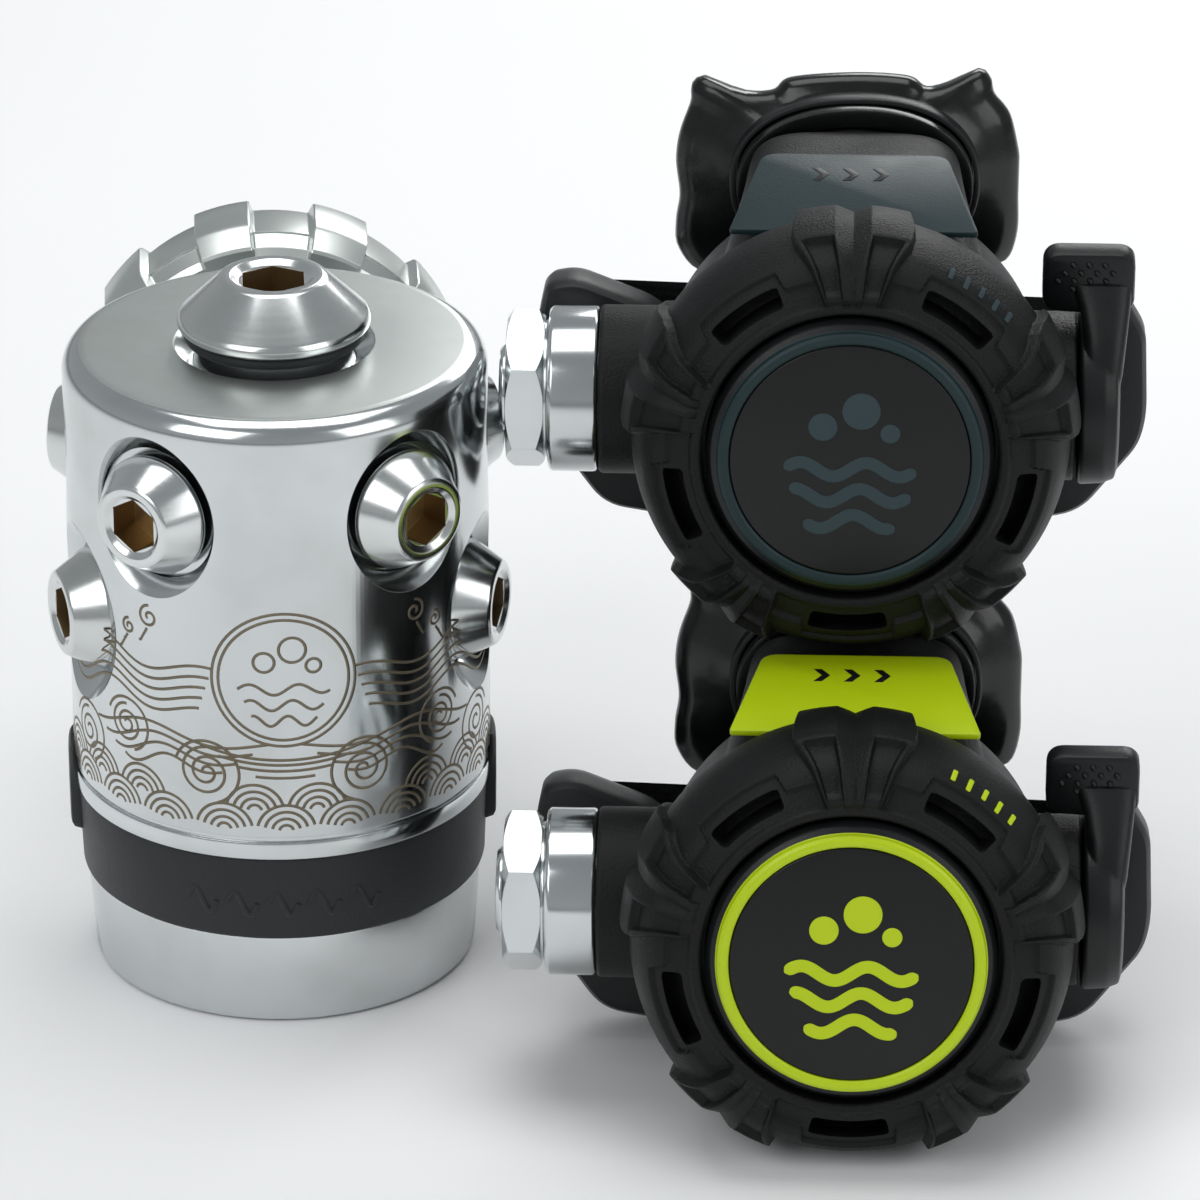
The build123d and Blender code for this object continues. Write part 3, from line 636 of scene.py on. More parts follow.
BITE_OUTLINE = (
    (22.6, 1.6), (21.4, 7.2), (19.2, 10.4), (18.8, 12.4), (17.2, 13.9), (13.4, 12.3), (10.0, 11.6),
    (7.4, 13.2),
    (0.0, 13.8), (-8.6, 13.2), (-11.2, 11.4), (-15.6, 11.4), (-20.2, 13.3), (-22.2, 12.2), (-22.4, 9.8),
    (-24.0, 5.4), (-24.6, 1.4), (-24.2, -3.4), (-24.8, -7.2), (-24.6, -11.0), (-21.6, -14.4), (-15.6, -13.4),
    (-8.0, -11.9), (0.0, -11.5), (8.0, -11.9), (15.6, -13.4), (20.4, -13.6), (22.2, -9.6), (22.4, -4.0))


def bite_ring(y, blend, scale, half_w, half_h, back):
    """Section between a plain oval and the shaped shield outline, in a plane of constant y."""
    power, count = 2.2, 180
    shape = smooth(BITE_OUTLINE + (BITE_OUTLINE[0],), 10)
    polar = sorted((atan2(p.y, p.x), p.length) for p in shape)
    (first, near), (last, far) = polar[0], polar[-1]
    polar = [(last - 2 * pi, far)] + polar + [(first + 2 * pi, near)]
    ring = []
    for i in range(count):
        t = -pi + 2 * pi * (i + 0.5) / count
        c, s = cos(t), sin(t)
        oval = 1 / ((abs(c) / half_w) ** power + (abs(s) / half_h) ** power) ** (1 / power)
        r = oval + (table_value(polar, t) * scale - oval) * blend
        ring.append((r * c, y + back * (abs(r * c) / 23.0) ** 2, MOUTH_Z + r * s))
    return ring


def mouthpiece_mesh():
    """Sleeve, waisted neck, shaped bite shield with horns and centre tab, and two bite tabs."""
    # Depth, share of the shield outline, its scale, half width and height of the oval, curl back.
    sections = (
        (53.4, 0.0, 1.0, 15.4, 10.3, 0.0), (53.5, 0.0, 1.0, 16.0, 10.95, 0.0),
        (54.2, 0.0, 1.0, 16.2, 11.2, 0.0), (58.9, 0.0, 1.0, 16.15, 11.15, 0.0),
        (59.4, 0.1, 0.9, 16.5, 11.3, 0.2), (59.9, 0.45, 0.92, 17.2, 11.5, 0.6),
        (60.3, 0.8, 0.95, 18.0, 12.0, 1.0), (60.9, 1.0, 0.985, 18.0, 12.0, 1.4),
        (61.7, 1.0, 1.0, 18.0, 12.0, 1.6), (62.7, 1.0, 1.0, 18.0, 12.0, 1.6),
        (63.4, 1.0, 0.985, 18.0, 12.0, 1.6), (63.8, 1.0, 0.95, 18.0, 12.0, 1.5),
        (63.9, 0.7, 0.85, 16.0, 10.0, 1.2), (64.1, 0.2, 0.8, 13.6, 8.4, 0.5),
        (64.3, 0.0, 1.0, 11.9, 7.0, 0.0), (64.0, 0.0, 1.0, 11.3, 6.5, 0.0),
        (60.0, 0.0, 1.0, 11.2, 6.4, 0.0), (59.6, 0.0, 1.0, 12.0, 7.4, 0.0),
        (59.5, 0.0, 1.0, 13.3, 8.5, 0.0), (53.5, 0.0, 1.0, 13.4, 8.6, 0.0))
    body = skin([bite_ring(*section) for section in sections], wrap=True)
    blade = skin([superellipse(w, h, MOUTH_Z, y, 3.5, 48) for y, w, h in (
        (63.2, 2.2, 4.4), (66.0, 1.9, 4.1), (71.6, 1.9, 4.1), (73.2, 2.0, 5.2), (74.0, 2.0, 6.3),
        (75.2, 2.0, 6.4), (75.9, 1.7, 6.0), (76.05, 1.0, 5.0))])
    tabs = [moved(blade, offset(x, 0, 0)) for x in (-15.5, 15.5)]
    return moved(join(body, *tabs), MOUTH_ROLL)


def clamp_mesh():
    """Clamp strap with a ratchet head under the sleeve."""
    sections = [(55.7, 16.9, 11.9), (55.6, 16.7, 11.7), (55.6, 16.3, 11.3), (58.6, 16.3, 11.3),
                (58.6, 16.7, 11.7), (58.5, 17.0, 12.0), (58.0, 17.1, 12.1), (56.2, 17.1, 12.1)]
    strap = skin([superellipse(w, h, MOUTH_Z, y, 2.3, 144) for y, w, h in sections], wrap=True)
    head = prism(rounded([(-2.5, 55.6), (2.5, 55.6), (2.5, 58.6), (-2.5, 58.6)], 0.6), 7.7, 9.4, 0.2)
    return moved(join(strap, head), MOUTH_ROLL)


def box(x, y, z):
    """Block between two x, two y and two z."""
    corners = ((x[0], y[0]), (x[1], y[0]), (x[1], y[1]), (x[0], y[1]))
    return skin([[(a, b, c) for a, b in corners] for c in z])


def case_mesh():
    """Round diaphragm cup, rising neck with a flat top, barrel sockets and mouthpiece stub."""
    cup = moved(lathe([
        (25.35, 12.5), (25.35, 17.4), (27.3, 17.6), (27.1, 20.0), (25.6, 36.0), (24.2, 37.55), (8.0, 37.55),
        (8.0, 35.6), (23.3, 35.4), (23.3, 12.5)], 192, 0.5), ALONG_Y)
    outlet = moved(lathe([(0, 34.5), (7.8, 34.5), (7.8, 40), (0, 40)], 64, 0.0), ALONG_Y)
    cup = boolean(cup, [moved(box((-40, 40), (-1, 60), (0, 20)), FLAT),
                        moved(outlet, offset(0, 0, OUTLET_Z))])
    # Depth, half width, underside and top of the neck.
    stations = ((17.5, 18.2, -2.0, 24.95), (22.0, 17.7, -1.2, 26.0), (30.0, 16.6, 0.4, 27.95),
                (38.0, 15.5, 2.2, 29.8), (43.0, 15.0, 5.0, 30.0), (48.0, 14.7, 7.6, 29.9),
                (51.2, 14.5, 9.2, 29.6), (52.0, 14.0, 9.8, 29.2))
    neck = skin([superellipse(w, (hi - lo) / 2, (hi + lo) / 2, y, 4.2, 128) for y, w, lo, hi in stations])
    stub = skin([superellipse(w, h, MOUTH_Z, y, 2.0, 96) for y, w, h in (
        (51.0, 13.1, 8.2), (59.7, 13.1, 8.2), (60.0, 12.8, 7.9), (60.0, 11.8, 6.9), (51.0, 11.5, 6.6))],
        wrap=True)
    left = lathe([(9.1, -33.6), (11.0, -33.6), (11.3, -33.2), (11.3, -20.0), (9.1, -20.0)], 160)
    right = lathe([(9.1, 20.0), (11.3, 20.0), (11.3, 29.5), (11.0, 29.8), (9.1, 29.8)], 160)
    collar = lathe([(9.1, -22.5), (11.9, -22.5), (11.9, -25.0), (11.5, -25.6), (9.1, -25.6)], 128)
    return join(cup, neck, stub, moved(join(left, right, collar), BARREL_AXIS @ ALONG_X))


def tee_mesh():
    """Exhaust tee: two faceted wings on a round collar, hollow at the ends."""
    outline = [(-42.6, 5.6), (-41.6, 10.6), (-37.4, 11.4), (-26.0, 7.0), (-18.0, -2.2), (18.0, -2.2),
               (26.0, 5.5), (36.8, 9.6), (39.8, 4.6), (40.2, -6.6), (39.4, -11.0), (31.4, -21.0),
               (21.0, -23.0), (-21.0, -23.0), (-33.6, -21.0), (-41.0, -11.0)]
    radii = [1.0, 1.5, 2.0, 3.0, 2.5, 2.5, 3.0, 1.8, 1.8, 2.0, 2.5, 3.0, 4.0, 4.0, 3.0, 2.5]
    flat = [Vector(p) for p in rounded(outline, radii, 6)]
    # Depth, and how far the outline draws in there.
    swept = [(40.25, 1.6), (40.5, 0.7), (41.4, 0.15), (42.6, 0.0), (46.0, 0.0), (49.0, 0.6), (50.4, 1.6),
             (51.0, 3.2)]
    rings = []
    for y, inset in swept:
        ring = []
        for i, p in enumerate(flat):
            along = (flat[(i + 1) % len(flat)] - flat[i - 1]).normalized()
            ring.append((p.x + along.y * inset, y, p.y - along.x * inset))
        rings.append(ring)
    mouth = rounded([(-3.4, -8.0), (3.4, -8.0), (3.4, 4.2), (-3.4, 4.2)], 1.6, 4)
    mouths = [skin([[(x, 45.6 + u, v) for u, v in mouth] for x in ends]) for ends in ((-46.0, -38.0),
                                                                                      (36.0, 44.0))]
    collar = moved(lathe([(10.0, 37.7), (11.0, 37.7), (11.2, 37.9), (11.2, 41.0), (10.0, 41.0)], 96, 0.1),
                   offset(0, 0, OUTLET_Z) @ ALONG_Y)
    return join(boolean(skin(rings), mouths), collar)


def fitting_mesh():
    """Inlet: polished collar, undercut, chamfered hexagon and hose neck."""
    collar = lathe([(3.0, -41.0), (9.2, -41.0), (9.2, -40.5), (10.6, -40.4), (11.1, -39.9), (11.1, -34.1),
                    (10.8, -33.7), (3.0, -33.7)], 192, 0.2)
    nut = prism(ngon(6, 11.085), -46.0, -40.9, 0.05)
    cone = lathe([(0, -46.0), (9.5, -46.0), (11.15, -45.0), (11.15, -41.9), (9.7, -40.9), (0, -40.9)], 160,
                 0.1)
    nut = boolean(nut, [cone], "INTERSECT")
    neck = lathe([(3.0, -47.0), (5.2, -47.0), (5.75, -46.5), (5.75, -45.6), (3.0, -45.6)], 96, 0.1)
    thread = lathe([(3.0, -33.75), (7.0, -33.75), (7.0, -24.4), (3.0, -24.4)], 96, 0.3)
    return moved(join(collar, nut, neck, thread), BARREL_AXIS @ ALONG_X)


def lever_mesh():
    """Venturi lever: round hub, curved stem and rounded thumb pad."""
    hub = moved(lathe([(7.0, 30.25), (11.4, 30.25), (11.8, 30.7), (11.6, 33.6), (11.0, 35.2), (9.6, 35.6),
                       (3.4, 35.6), (3.0, 35.1), (0, 35.1), (0, 31.5), (7.0, 31.5)], 128, 0.3),
                       BARREL_AXIS @ ALONG_X)
    # Depth, height, half thickness, sideways place and half width of the stem.
    path = ((17.8, -3.2, 1.2, 32.0, 1.6), (18.4, 1.0, 2.0, 32.6, 2.3), (19.8, 6.0, 2.6, 33.2, 2.7),
            (21.4, 10.6, 2.4, 33.5, 2.9), (22.9, 14.4, 2.0, 33.4, 3.4), (23.7, 17.0, 1.7, 33.0, 4.0))
    rings = []
    for y, z, thick, x, half in path:
        ring = []
        for i in range(40):
            t = 2 * pi * i / 40
            c, s = cos(t), sin(t)
            k = (abs(c) ** 3 + abs(s) ** 3) ** (-1 / 3)
            ring.append((x + half * c * k, y + thick * s * k * 0.95, z + thick * s * k * -0.25))
        rings.append(ring)
    stem = skin(rings)
    web = prism(rounded([(18.6, -2.0), (21.0, 10.0), (27.0, 11.6), (31.0, 7.0), (31.0, -2.0)], 2.0, 5),
                31.4, 35.3, 0.7)
    web = moved(web, Matrix(((0, 0, 1, 0), (1, 0, 0, 0), (0, 1, 0, 0), (0, 0, 0, 1))))
    outline = rounded([(-6.1, -4.2), (2.6, -4.7), (6.1, -3.9), (6.1, 4.7), (-6.1, 4.7)],
                      [2.2, 1.0, 1.6, 2.4, 2.4], 8)
    return join(hub, stem, web, moved(prism(outline, -1.8, 1.8, 0.7), PAD @ spin(90, "X")))


def button_mesh():
    """Purge button: bright rim, sloping skirt, retaining flange and pin."""
    return moved(lathe([
        (0, 0.7), (15.85, 0.7), (15.85, 0.0), (16.2, -0.24), (16.9, -0.24), (17.35, 0.05), (17.45, 0.7),
        (17.7, 0.85), (18.2, 1.1), (18.9, 2.0), (18.9, 5.0), (20.8, 5.0), (20.8, 6.2), (17.4, 6.2),
        (17.4, 2.9),
        (3.4, 2.9), (3.4, 10.55), (0, 10.55)], 256, 0.12), ALONG_Y)


def wave_bar(z, half, phase):
    """One wavy bar standing 0.05 out of the face y = 0, rounded at both ends."""
    thick, swing, length, count = 1.7, 0.95, 8.6, 60
    top, low = [], []
    for i in range(count + 1):
        x = -half + 2 * half * i / count
        y = z + swing * sin(2 * pi * x / length + phase)
        slope = swing * 2 * pi / length * cos(2 * pi * x / length + phase)
        n = Vector((-slope, 1)).normalized()
        end = clamp01(min(x + half, half - x) / (thick / 2))
        w = thick / 2 * sqrt(max(0.02, 1 - (1 - end) ** 2))
        top.append((x + n.x * w, y + n.y * w))
        low.append((x - n.x * w, y - n.y * w))
    return skin([[(x, y, z2) for x, z2 in top + low[::-1]] for y in (-0.05, 0.2)])


def badge_mark():
    """Plain emblem on the badge: three waves under three bubbles."""
    parts = [wave_bar(-1.2 - 3.6 * i, 8.6 - 0.66 * i * i, 0.6 * i) for i in range(3)]
    for x, z, r in ((-3.6, 4.6, 1.9), (1.4, 6.8, 2.5), (5.2, 3.8, 1.3)):
        parts.append(skin([[(x + u, y, z + v) for u, v in ngon(48, r)] for y in (-0.05, 0.2)]))
    return join(*parts)


def plate_mesh():
    """Trim plate: bevelled trapezoid on the sloping flat of the neck."""
    outline = rounded([(-16.4, 0.3), (16.4, 0.3), (12.3, 20.5), (-12.3, 20.5)], [0.6, 0.6, 2.2, 2.2], 6)
    return moved(prism(outline, 0.0, 0.88, 0.18), PLATE)


def plate_mark():
    """Row of three plain chevrons on the trim plate."""
    shape = ((-1.6, 0.0), (-0.5, 0.0), (0.6, 1.6), (-0.5, 3.2), (-1.6, 3.2), (-0.5, 1.6))
    marks = [prism([(x + i * 4.0, y + 13.4) for x, y in shape], 0.6, 0.92, 0.02) for i in (-1, 0, 1)]
    return moved(join(*marks), PLATE)


def ring_mark():
    """Five short bars round the upper right of the ring, every second one longer."""
    lean = offset(0, 27.35, -5.2) @ spin(-58, "X")
    marks = []
    for i in range(5):
        foot = -0.9 - 0.25 * (i % 2)
        bar = prism(rounded([(-0.35, foot), (0.35, foot), (0.35, 0.9), (-0.35, 0.9)], 0.2, 3), -0.25, 0.05,
                    0.02)
        marks.append(moved(bar, spin(90, "X") @ spin(42.0 + 5 * i - 90, "Z") @ lean))
    return join(*marks)


def second_stage(unit, rim, ink, trim):
    """Build every outer piece of one second stage; trim, the slot name of its coloured parts, is listed in the
    table but not used.
    """
    body, button, lever = (unit + end for end in ("_second_stage", "_purge_button_body",
                                                  "_venturi_lever_body"))
    disc = lathe([(0, 0.0), (15.6, 0.0), (15.8, 0.2), (15.8, 0.66), (0, 0.66)], 192, 0.06)
    rows = (
        ("ring", ring_mesh(), NYLON, body, "cover_ring", "black_plastic", 28),
        ("shell", case_mesh(), NYLON, body, "case", "black_plastic", 32),
        ("bite", mouthpiece_mesh(), SILICONE, body, "mouthpiece", "black_silicone", 60),
        ("strap", clamp_mesh(), NYLON_FINE, body, "mouthpiece_clamp", "black_plastic", 40),
        ("tee", tee_mesh(), TEE_RUBBER, body, "exhaust_tee", "black_rubber", 32),
        ("inlet", fitting_mesh(), CHROME, body, "inlet_fitting", "chrome", 28),
        ("lever", lever_mesh(), NYLON_FINE, lever, "venturi_lever", "black_plastic", 40),
        ("button", button_mesh(), NYLON_FINE, button, "purge_button", trim, 35),
        ("badge", moved(disc, ALONG_Y), BADGE, button, "button_disc", "black_plastic", 40),
        ("badge_mark", badge_mark(), ink, button, None, trim, 40),
        ("plate", plate_mesh(), rim, body, "trim_plate", trim, 35),
        ("plate_mark", plate_mark(), NYLON_FINE, body, None, "black_plastic", 35),
        ("ring_mark", ring_mark(), ink, body, None, trim, 35))
    for label, part, finish, rides_on, node, slot, sharp in rows:
        finishes, pick = [finish], None
        if label == "button":
            finishes, pick = [finish, rim], lambda p: int(p.y < 0.84 and hypot(p.x, p.z) < 17.6)
        piece(f"{unit}_{label}", part, UNITS[unit], finishes, rides_on, node and f"{unit}_{node}",
              sharp, pick)


second_stage("primary", TEAL, TEAL_INK, "teal_plastic")
second_stage("octopus", LIME, LIME_INK, "lime_plastic")

# ------------------------------------------------------------------ first stage pieces
BARREL_R = 28.5
TOP = 89.3
# Ports: (angle from the front, seat radius) of each, level, tapped hole and plug thread radii.
PORTS = {
    "low_pressure_plugs": (((-105, 24.0), (-37.5, 25.6), (37.5, 25.6), (105, 24.0)), 74.0, 4.8, 4.76),
    "high_pressure_plugs": (((-72, 24.6), (72, 24.6)), 54.4, 5.6, 5.5)}


def barrel_mesh():
    """Barrel with rounded shoulder, foot lip, inner chambers and six chamfered port recesses."""
    profile = [(24.6, 16.1), (24.6, 25.8), (28.1, 25.8), (28.42, 25.95), (28.5, 26.3), (28.5, 28.1),
               (28.4, 28.35),
               (28.0, 28.45), (28.0, 29.1), (28.42, 29.2), (28.5, 29.45)]
    profile += arc(BARREL_R - 3.3, TOP - 3.3, 3.3, 0, 90, 16)
    profile += [(13.5, TOP), (13.3, TOP - 0.15), (11.0, TOP - 2.3), (10.95, TOP - 2.6), (10.95, 78.0),
                (14.0, 78.0),
                (14.0, 70.0), (8.0, 70.0), (8.0, 44.0), (4.0, 44.0), (4.0, 44.8), (2.4, 44.8), (2.4, 44.0),
                (1.9, 44.0), (1.9, 38.0), (17.0, 38.0), (17.0, 33.0), (22.0, 33.0), (22.0, 16.1)]
    cutters = []
    for places, level, hole, _ in PORTS.values():
        for angle, seat in places:
            tool = lathe([(0, 15.5), (hole, 15.5), (hole, seat), (9.0, seat), (9.0, seat + 0.5),
                          (9.15, seat + 0.85),
                          (14.4, seat + 5.6), (14.4, seat + 9), (0, seat + 9)], 128, 0.0)
            cutters.append(moved(tool, port(angle, level)))
    bore = lathe([(0, 7.0), (3.0, 7.0), (3.0, 12.0), (7.04, 12.0), (7.04, 30.0), (0, 30.0)], 64, 0.0)
    cutters.append(moved(bore, DIN_BACK))
    body = boolean(lathe(profile, 288, 0.0), cutters)
    boss = lathe([(7.1, 26.5), (13.4, 26.5), (13.4, 31.5), (12.9, 32.0), (7.1, 32.0)], 128, 0.2)
    return join(body, moved(boss, DIN_BACK))


def socket_cut(solid, flats, z0, z1):
    """Cut a hexagon socket along the Z axis."""
    hexagon = ngon(6, flats / sqrt(3), 30)
    return boolean(solid, [skin([[(x, y, z) for x, y in hexagon] for z in (z0, z1)])])


def plug_mesh(s, thread_r):
    """Conical port plug on a seat at radius s, with a chamfered hexagon socket."""
    solid = lathe([
        (0, s - 9.0), (thread_r - 0.4, s - 9.0), (thread_r, s - 8.5), (thread_r, s), (5.2, s), (5.2, s + 0.9),
        (7.8, s + 0.9), (8.2, s + 1.25), (8.2, s + 2.0), (7.95, s + 2.45), (5.75, s + 6.35), (5.3, s + 6.6),
        (4.5, s + 6.6), (3.75, s + 6.0), (0, s + 6.0)], 160, 0.14)
    return socket_cut(solid, 6.6, s + 1.4, s + 8)


def end_plug_mesh():
    """Large end plug: shank, neck, flange, long cone and hexagon socket."""
    t = TOP
    solid = lathe([
        (0, 60.0), (7.2, 60.0), (7.9, 60.7), (7.9, 70.0), (6.5, 70.0), (6.5, 78.5), (10.9, 78.5),
        (10.9, t - 2.5),
        (10.4, t - 2.5), (10.4, t + 2.2), (10.6, t + 2.4), (12.5, t + 2.4), (12.9, t + 2.85), (12.9, t + 3.6),
        (12.6, t + 4.25), (7.3, t + 9.35), (6.7, t + 9.6), (5.7, t + 9.6), (4.75, t + 8.9), (0, t + 8.9)],
        224, 0.2)
    solid = boolean(solid, [lathe([(0, 59.0), (2.85, 59.0), (2.85, 72.0), (0, 72.0)], 48, 0.0)])
    return socket_cut(solid, 8.2, t + 1.5, t + 12)


def wheel_mesh():
    """Handwheel: ten raised lobes with bevelled front rims and a dished web."""
    # Radius, depth, and whether the point belongs to the lobes.
    loop = [(23.6, 40.6, 0), (24.6, 40.5, 1), (25.1, 40.7, 1), (27.0, 43.4, 1), (27.3, 44.3, 1),
            (27.3, 52.2, 1),
            (26.9, 53.3, 1), (25.9, 54.0, 1), (23.4, 54.0, 0), (23.0, 53.8, 0),
            (22.0, 51.2, 0), (21.6, 51.0, 0), (16.2, 51.0, 0), (15.7, 51.3, 0), (15.4, 52.3, 0),
            (15.2, 52.4, 0),
            (12.95, 52.4, 0), (12.95, 42.0, 0), (20.6, 42.0, 0), (21.2, 41.8, 0), (22.8, 40.7, 0)]
    rings = []
    for i in range(900):
        angle = i * 0.4
        valley = 1 - step(8.6, 9.8, abs((angle - 68) % 36 - 18))
        ring = []
        for r, y, lobe in loop:
            if lobe and r > 25:
                r -= 1.55 * valley
            if lobe and y < 44:
                y += 0.9 * valley
            ring.append((r, y))
        rings.append(around(ring, radians(angle)))
    return moved(skin(rings, wrap=True), DIN_AXIS)


def screw_mesh():
    """Hollow connection screw with a cut 14-threads-per-inch helix."""
    pitch, core, crest = 1.814, 10.5, 11.455
    zs = [55.4 + 0.1134 * i for i in range(106)]
    rings = []
    for i in range(192):
        a = 2 * pi * i / 192
        ring = [(7.9, 36.4), (12.7, 36.4), (12.9, 36.6), (12.9, 52.2), (12.6, 52.5), (10.7, 53.4),
                (10.5, 53.7),
                (10.5, 54.6)]
        for z in zs:
            phase = (z / pitch - i / 192) % 1.0
            vee = abs(phase - 0.5) * 2
            ends = step(55.4, 56.4, z) * (1 - step(66.2, 67.3, z))
            ring.append((core + (crest - core) * ends * clamp01((vee - 0.12) / 0.7), z))
        ring += [(10.5, 67.7), (10.2, 68.15), (9.75, 68.2), (9.7, 68.1), (9.7, 62.6), (7.9, 62.6)]
        rings.append(around(ring, a))
    return moved(skin(rings, wrap=True), DIN_AXIS)


def cap_mesh():
    """Standing cap with a soft foot radius and a pierced guard in its middle."""
    profile = [(0, 0), (24.9, 0.0), (25.5, 0.12), (25.95, 0.45), (26.15, 0.95), (27.0, 12.9), (26.95, 13.3),
               (26.6, 13.5), (20.5, 13.5), (20.5, 3.0), (16.0, 3.0), (14.6, 1.6), (14.3, 1.5), (0, 1.5)]
    hole = lathe([(0, -1.0), (1.7, -1.0), (1.7, 2.5), (0, 2.5)], 32, 0.0)
    holes = [moved(hole, offset(x, y, 0)) for x, y in ngon(6, 5.2) + ngon(10, 10.8)]
    return boolean(lathe(profile, 288, 0.0), holes)


def band_mesh():
    """Rubber band over the joint with rounded rims and two raised side tabs."""
    band = lathe([(24.7, 13.55), (27.2, 13.55), (27.5, 13.7), (27.62, 14.1), (28.08, 25.2), (28.0, 25.6),
                  (27.7, 25.75), (24.7, 25.75)], 288, 0.0)
    tabs = []
    for side in (0, 180):
        rings = []
        # Height, radius of the tab's face and half its angle.
        for z, out, half in ((18.9, 28.0, 7.6), (19.2, 28.9, 8.2), (20.0, 29.25, 8.6), (25.0, 29.3, 8.6),
                             (29.5, 29.3, 8.4), (30.8, 29.25, 7.8), (31.4, 28.95, 7.0), (31.5, 28.6, 6.6)):
            base = 28.55 if z > 25.7 else 27.4
            middle = (out + base) / 2
            radii = [middle] + [out] * 11 + [middle]
            angles = [radians(side - half + 2 * half * i / 12) for i in range(13)]
            edge = list(zip(radii, angles)) + [(base, a) for a in reversed(angles)]
            rings.append([(r * cos(a), r * sin(a), z) for r, a in edge])
        tabs.append(skin(rings))
    return join(band, *tabs)


# ------------------------------------------------------------------ repeated detail by node trees
def new_group(name, inputs):
    """Empty node tree with named inputs of given kinds and one geometry output, and its inputs."""
    group = bpy.data.node_groups.new(name, "GeometryNodeTree")
    for label, kind in inputs.items():
        group.interface.new_socket(label, in_out="INPUT", socket_type="NodeSocket" + kind)
    group.interface.new_socket("Result", in_out="OUTPUT", socket_type="NodeSocketGeometry")
    tree = Tree(group)
    return group, tree, tree.add("NodeGroupInput").outputs


def end_group(tree, geometry, material):
    """Finish a node tree: real geometry with a material."""
    real = tree.add("GeometryNodeRealizeInstances", {"Geometry": geometry}).outputs[0]
    painted = tree.add("GeometryNodeSetMaterial", {"Geometry": real, "Material": material}).outputs[0]
    tree.add("NodeGroupOutput", {"Result": painted})


def wrap_tree(name, material):
    """Node tree: flat line work becomes round-edged ribbons wrapped on a barrel.

    Inputs are the barrel radius, the line width and how far the line stands out, in metres."""
    group, tree, start = new_group(name, {
        "Lines": "Geometry", "Barrel radius": "Float", "Line width": "Float", "Stand out": "Float"})
    half = tree.math("MULTIPLY", start["Line width"], 0.5)
    curve = tree.add("GeometryNodeMeshToCurve", {"Mesh": start["Lines"]}).outputs[0]
    profile = tree.add("GeometryNodeCurvePrimitiveCircle", {"Resolution": 8, "Radius": half}).outputs[0]
    ribbon = tree.add("GeometryNodeCurveToMesh", {"Curve": curve, "Profile Curve": profile}).outputs[0]
    place = tree.add("GeometryNodeInputPosition").outputs[0]
    flat_x, flat_y, height = tree.add("ShaderNodeSeparateXYZ", {0: place}).outputs
    turn = tree.math("DIVIDE", flat_x, start["Barrel radius"])
    lift = tree.math("MULTIPLY", tree.math("DIVIDE", flat_y, half), start["Stand out"])
    radius = tree.math("SUBTRACT", start["Barrel radius"], lift)
    x = tree.math("MULTIPLY", tree.math("SINE", turn), radius)
    y = tree.math("MULTIPLY", tree.math("COSINE", turn), radius)
    spot = tree.add("ShaderNodeCombineXYZ", {0: x, 1: tree.math("MULTIPLY", y, -1.0), 2: height}).outputs[0]
    bent = tree.add("GeometryNodeSetPosition", {"Geometry": ribbon, "Position": spot}).outputs[0]
    end_group(tree, bent, material)
    return group


def scatter_tree(name, material):
    """Node tree: puts one small shape on every point of a mesh, turned to the point's normal.

    Inputs are the dot radius in metres, how flat the dot is, and the seed of its tiny size change."""
    group, tree, start = new_group(name, {
        "Points": "Geometry", "Dot radius": "Float", "Flatness": "Float", "Seed": "Int"})
    dot = tree.add("GeometryNodeMeshUVSphere",
                   {"Segments": 20, "Rings": 12, "Radius": start["Dot radius"]}).outputs[0]
    flat = tree.add("ShaderNodeCombineXYZ", {0: 1.0, 1: 1.0, 2: start["Flatness"]}).outputs[0]
    dot = tree.add("GeometryNodeTransform", {"Geometry": dot, "Scale": flat}).outputs[0]
    dot = tree.add("GeometryNodeSetShadeSmooth", {"Geometry": dot}).outputs[0]
    normal = tree.add("GeometryNodeInputNormal").outputs[0]
    turn = tree.add("FunctionNodeAlignRotationToVector", {"Vector": normal}, axis="Z").outputs[0]
    size = tree.add("FunctionNodeRandomValue", {"Min": 0.97, "Max": 1.03, "Seed": start["Seed"]},
                    data_type="FLOAT")
    placed = tree.add("GeometryNodeInstanceOnPoints", {
        "Points": start["Points"], "Instance": dot, "Rotation": turn,
        "Scale": next(s for s in size.outputs if s.enabled)}).outputs[0]
    end_group(tree, placed, material)
    return group


def grow(name, mesh, group, values, body):
    """Run a node tree on a mesh, keep the finished mesh and let it ride on a body."""
    seed = add_object(name + "_seed", mesh)
    modifier = seed.modifiers.new("grow", "NODES")
    modifier.node_group = group
    for item in group.interface.items_tree:
        if item.in_out == "INPUT" and item.name in values:
            modifier[item.identifier] = values[item.name]
    graph = bpy.context.evaluated_depsgraph_get()
    done = bpy.data.meshes.new_from_object(seed.evaluated_get(graph))
    bpy.data.objects.remove(seed)
    done.name = name
    obj = add_object(name, done)
    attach(obj, body)


def lines_mesh(name, lines):
    """Mesh of open polylines; each is a list of (u, z) millimetres on the unrolled barrel."""
    verts, edges = [], []
    for line in lines:
        base = len(verts)
        verts += [(u * MM, 0, z * MM) for u, z in line]
        edges += [(base + i, base + i + 1) for i in range(len(line) - 1)]
    mesh = bpy.data.meshes.new(name)
    mesh.from_pydata(verts, edges, [])
    return mesh


def spiral_line(u, z, r, turns):
    """Wave-crest spiral."""
    out = []
    count = int(46 * turns)
    for i in range(count + 1):
        t = i / count
        a = radians(90 - 360 * turns * t)
        out.append((u + r * (1 - 0.86 * t) * cos(a), z + r * (1 - 0.86 * t) * sin(a)))
    return out


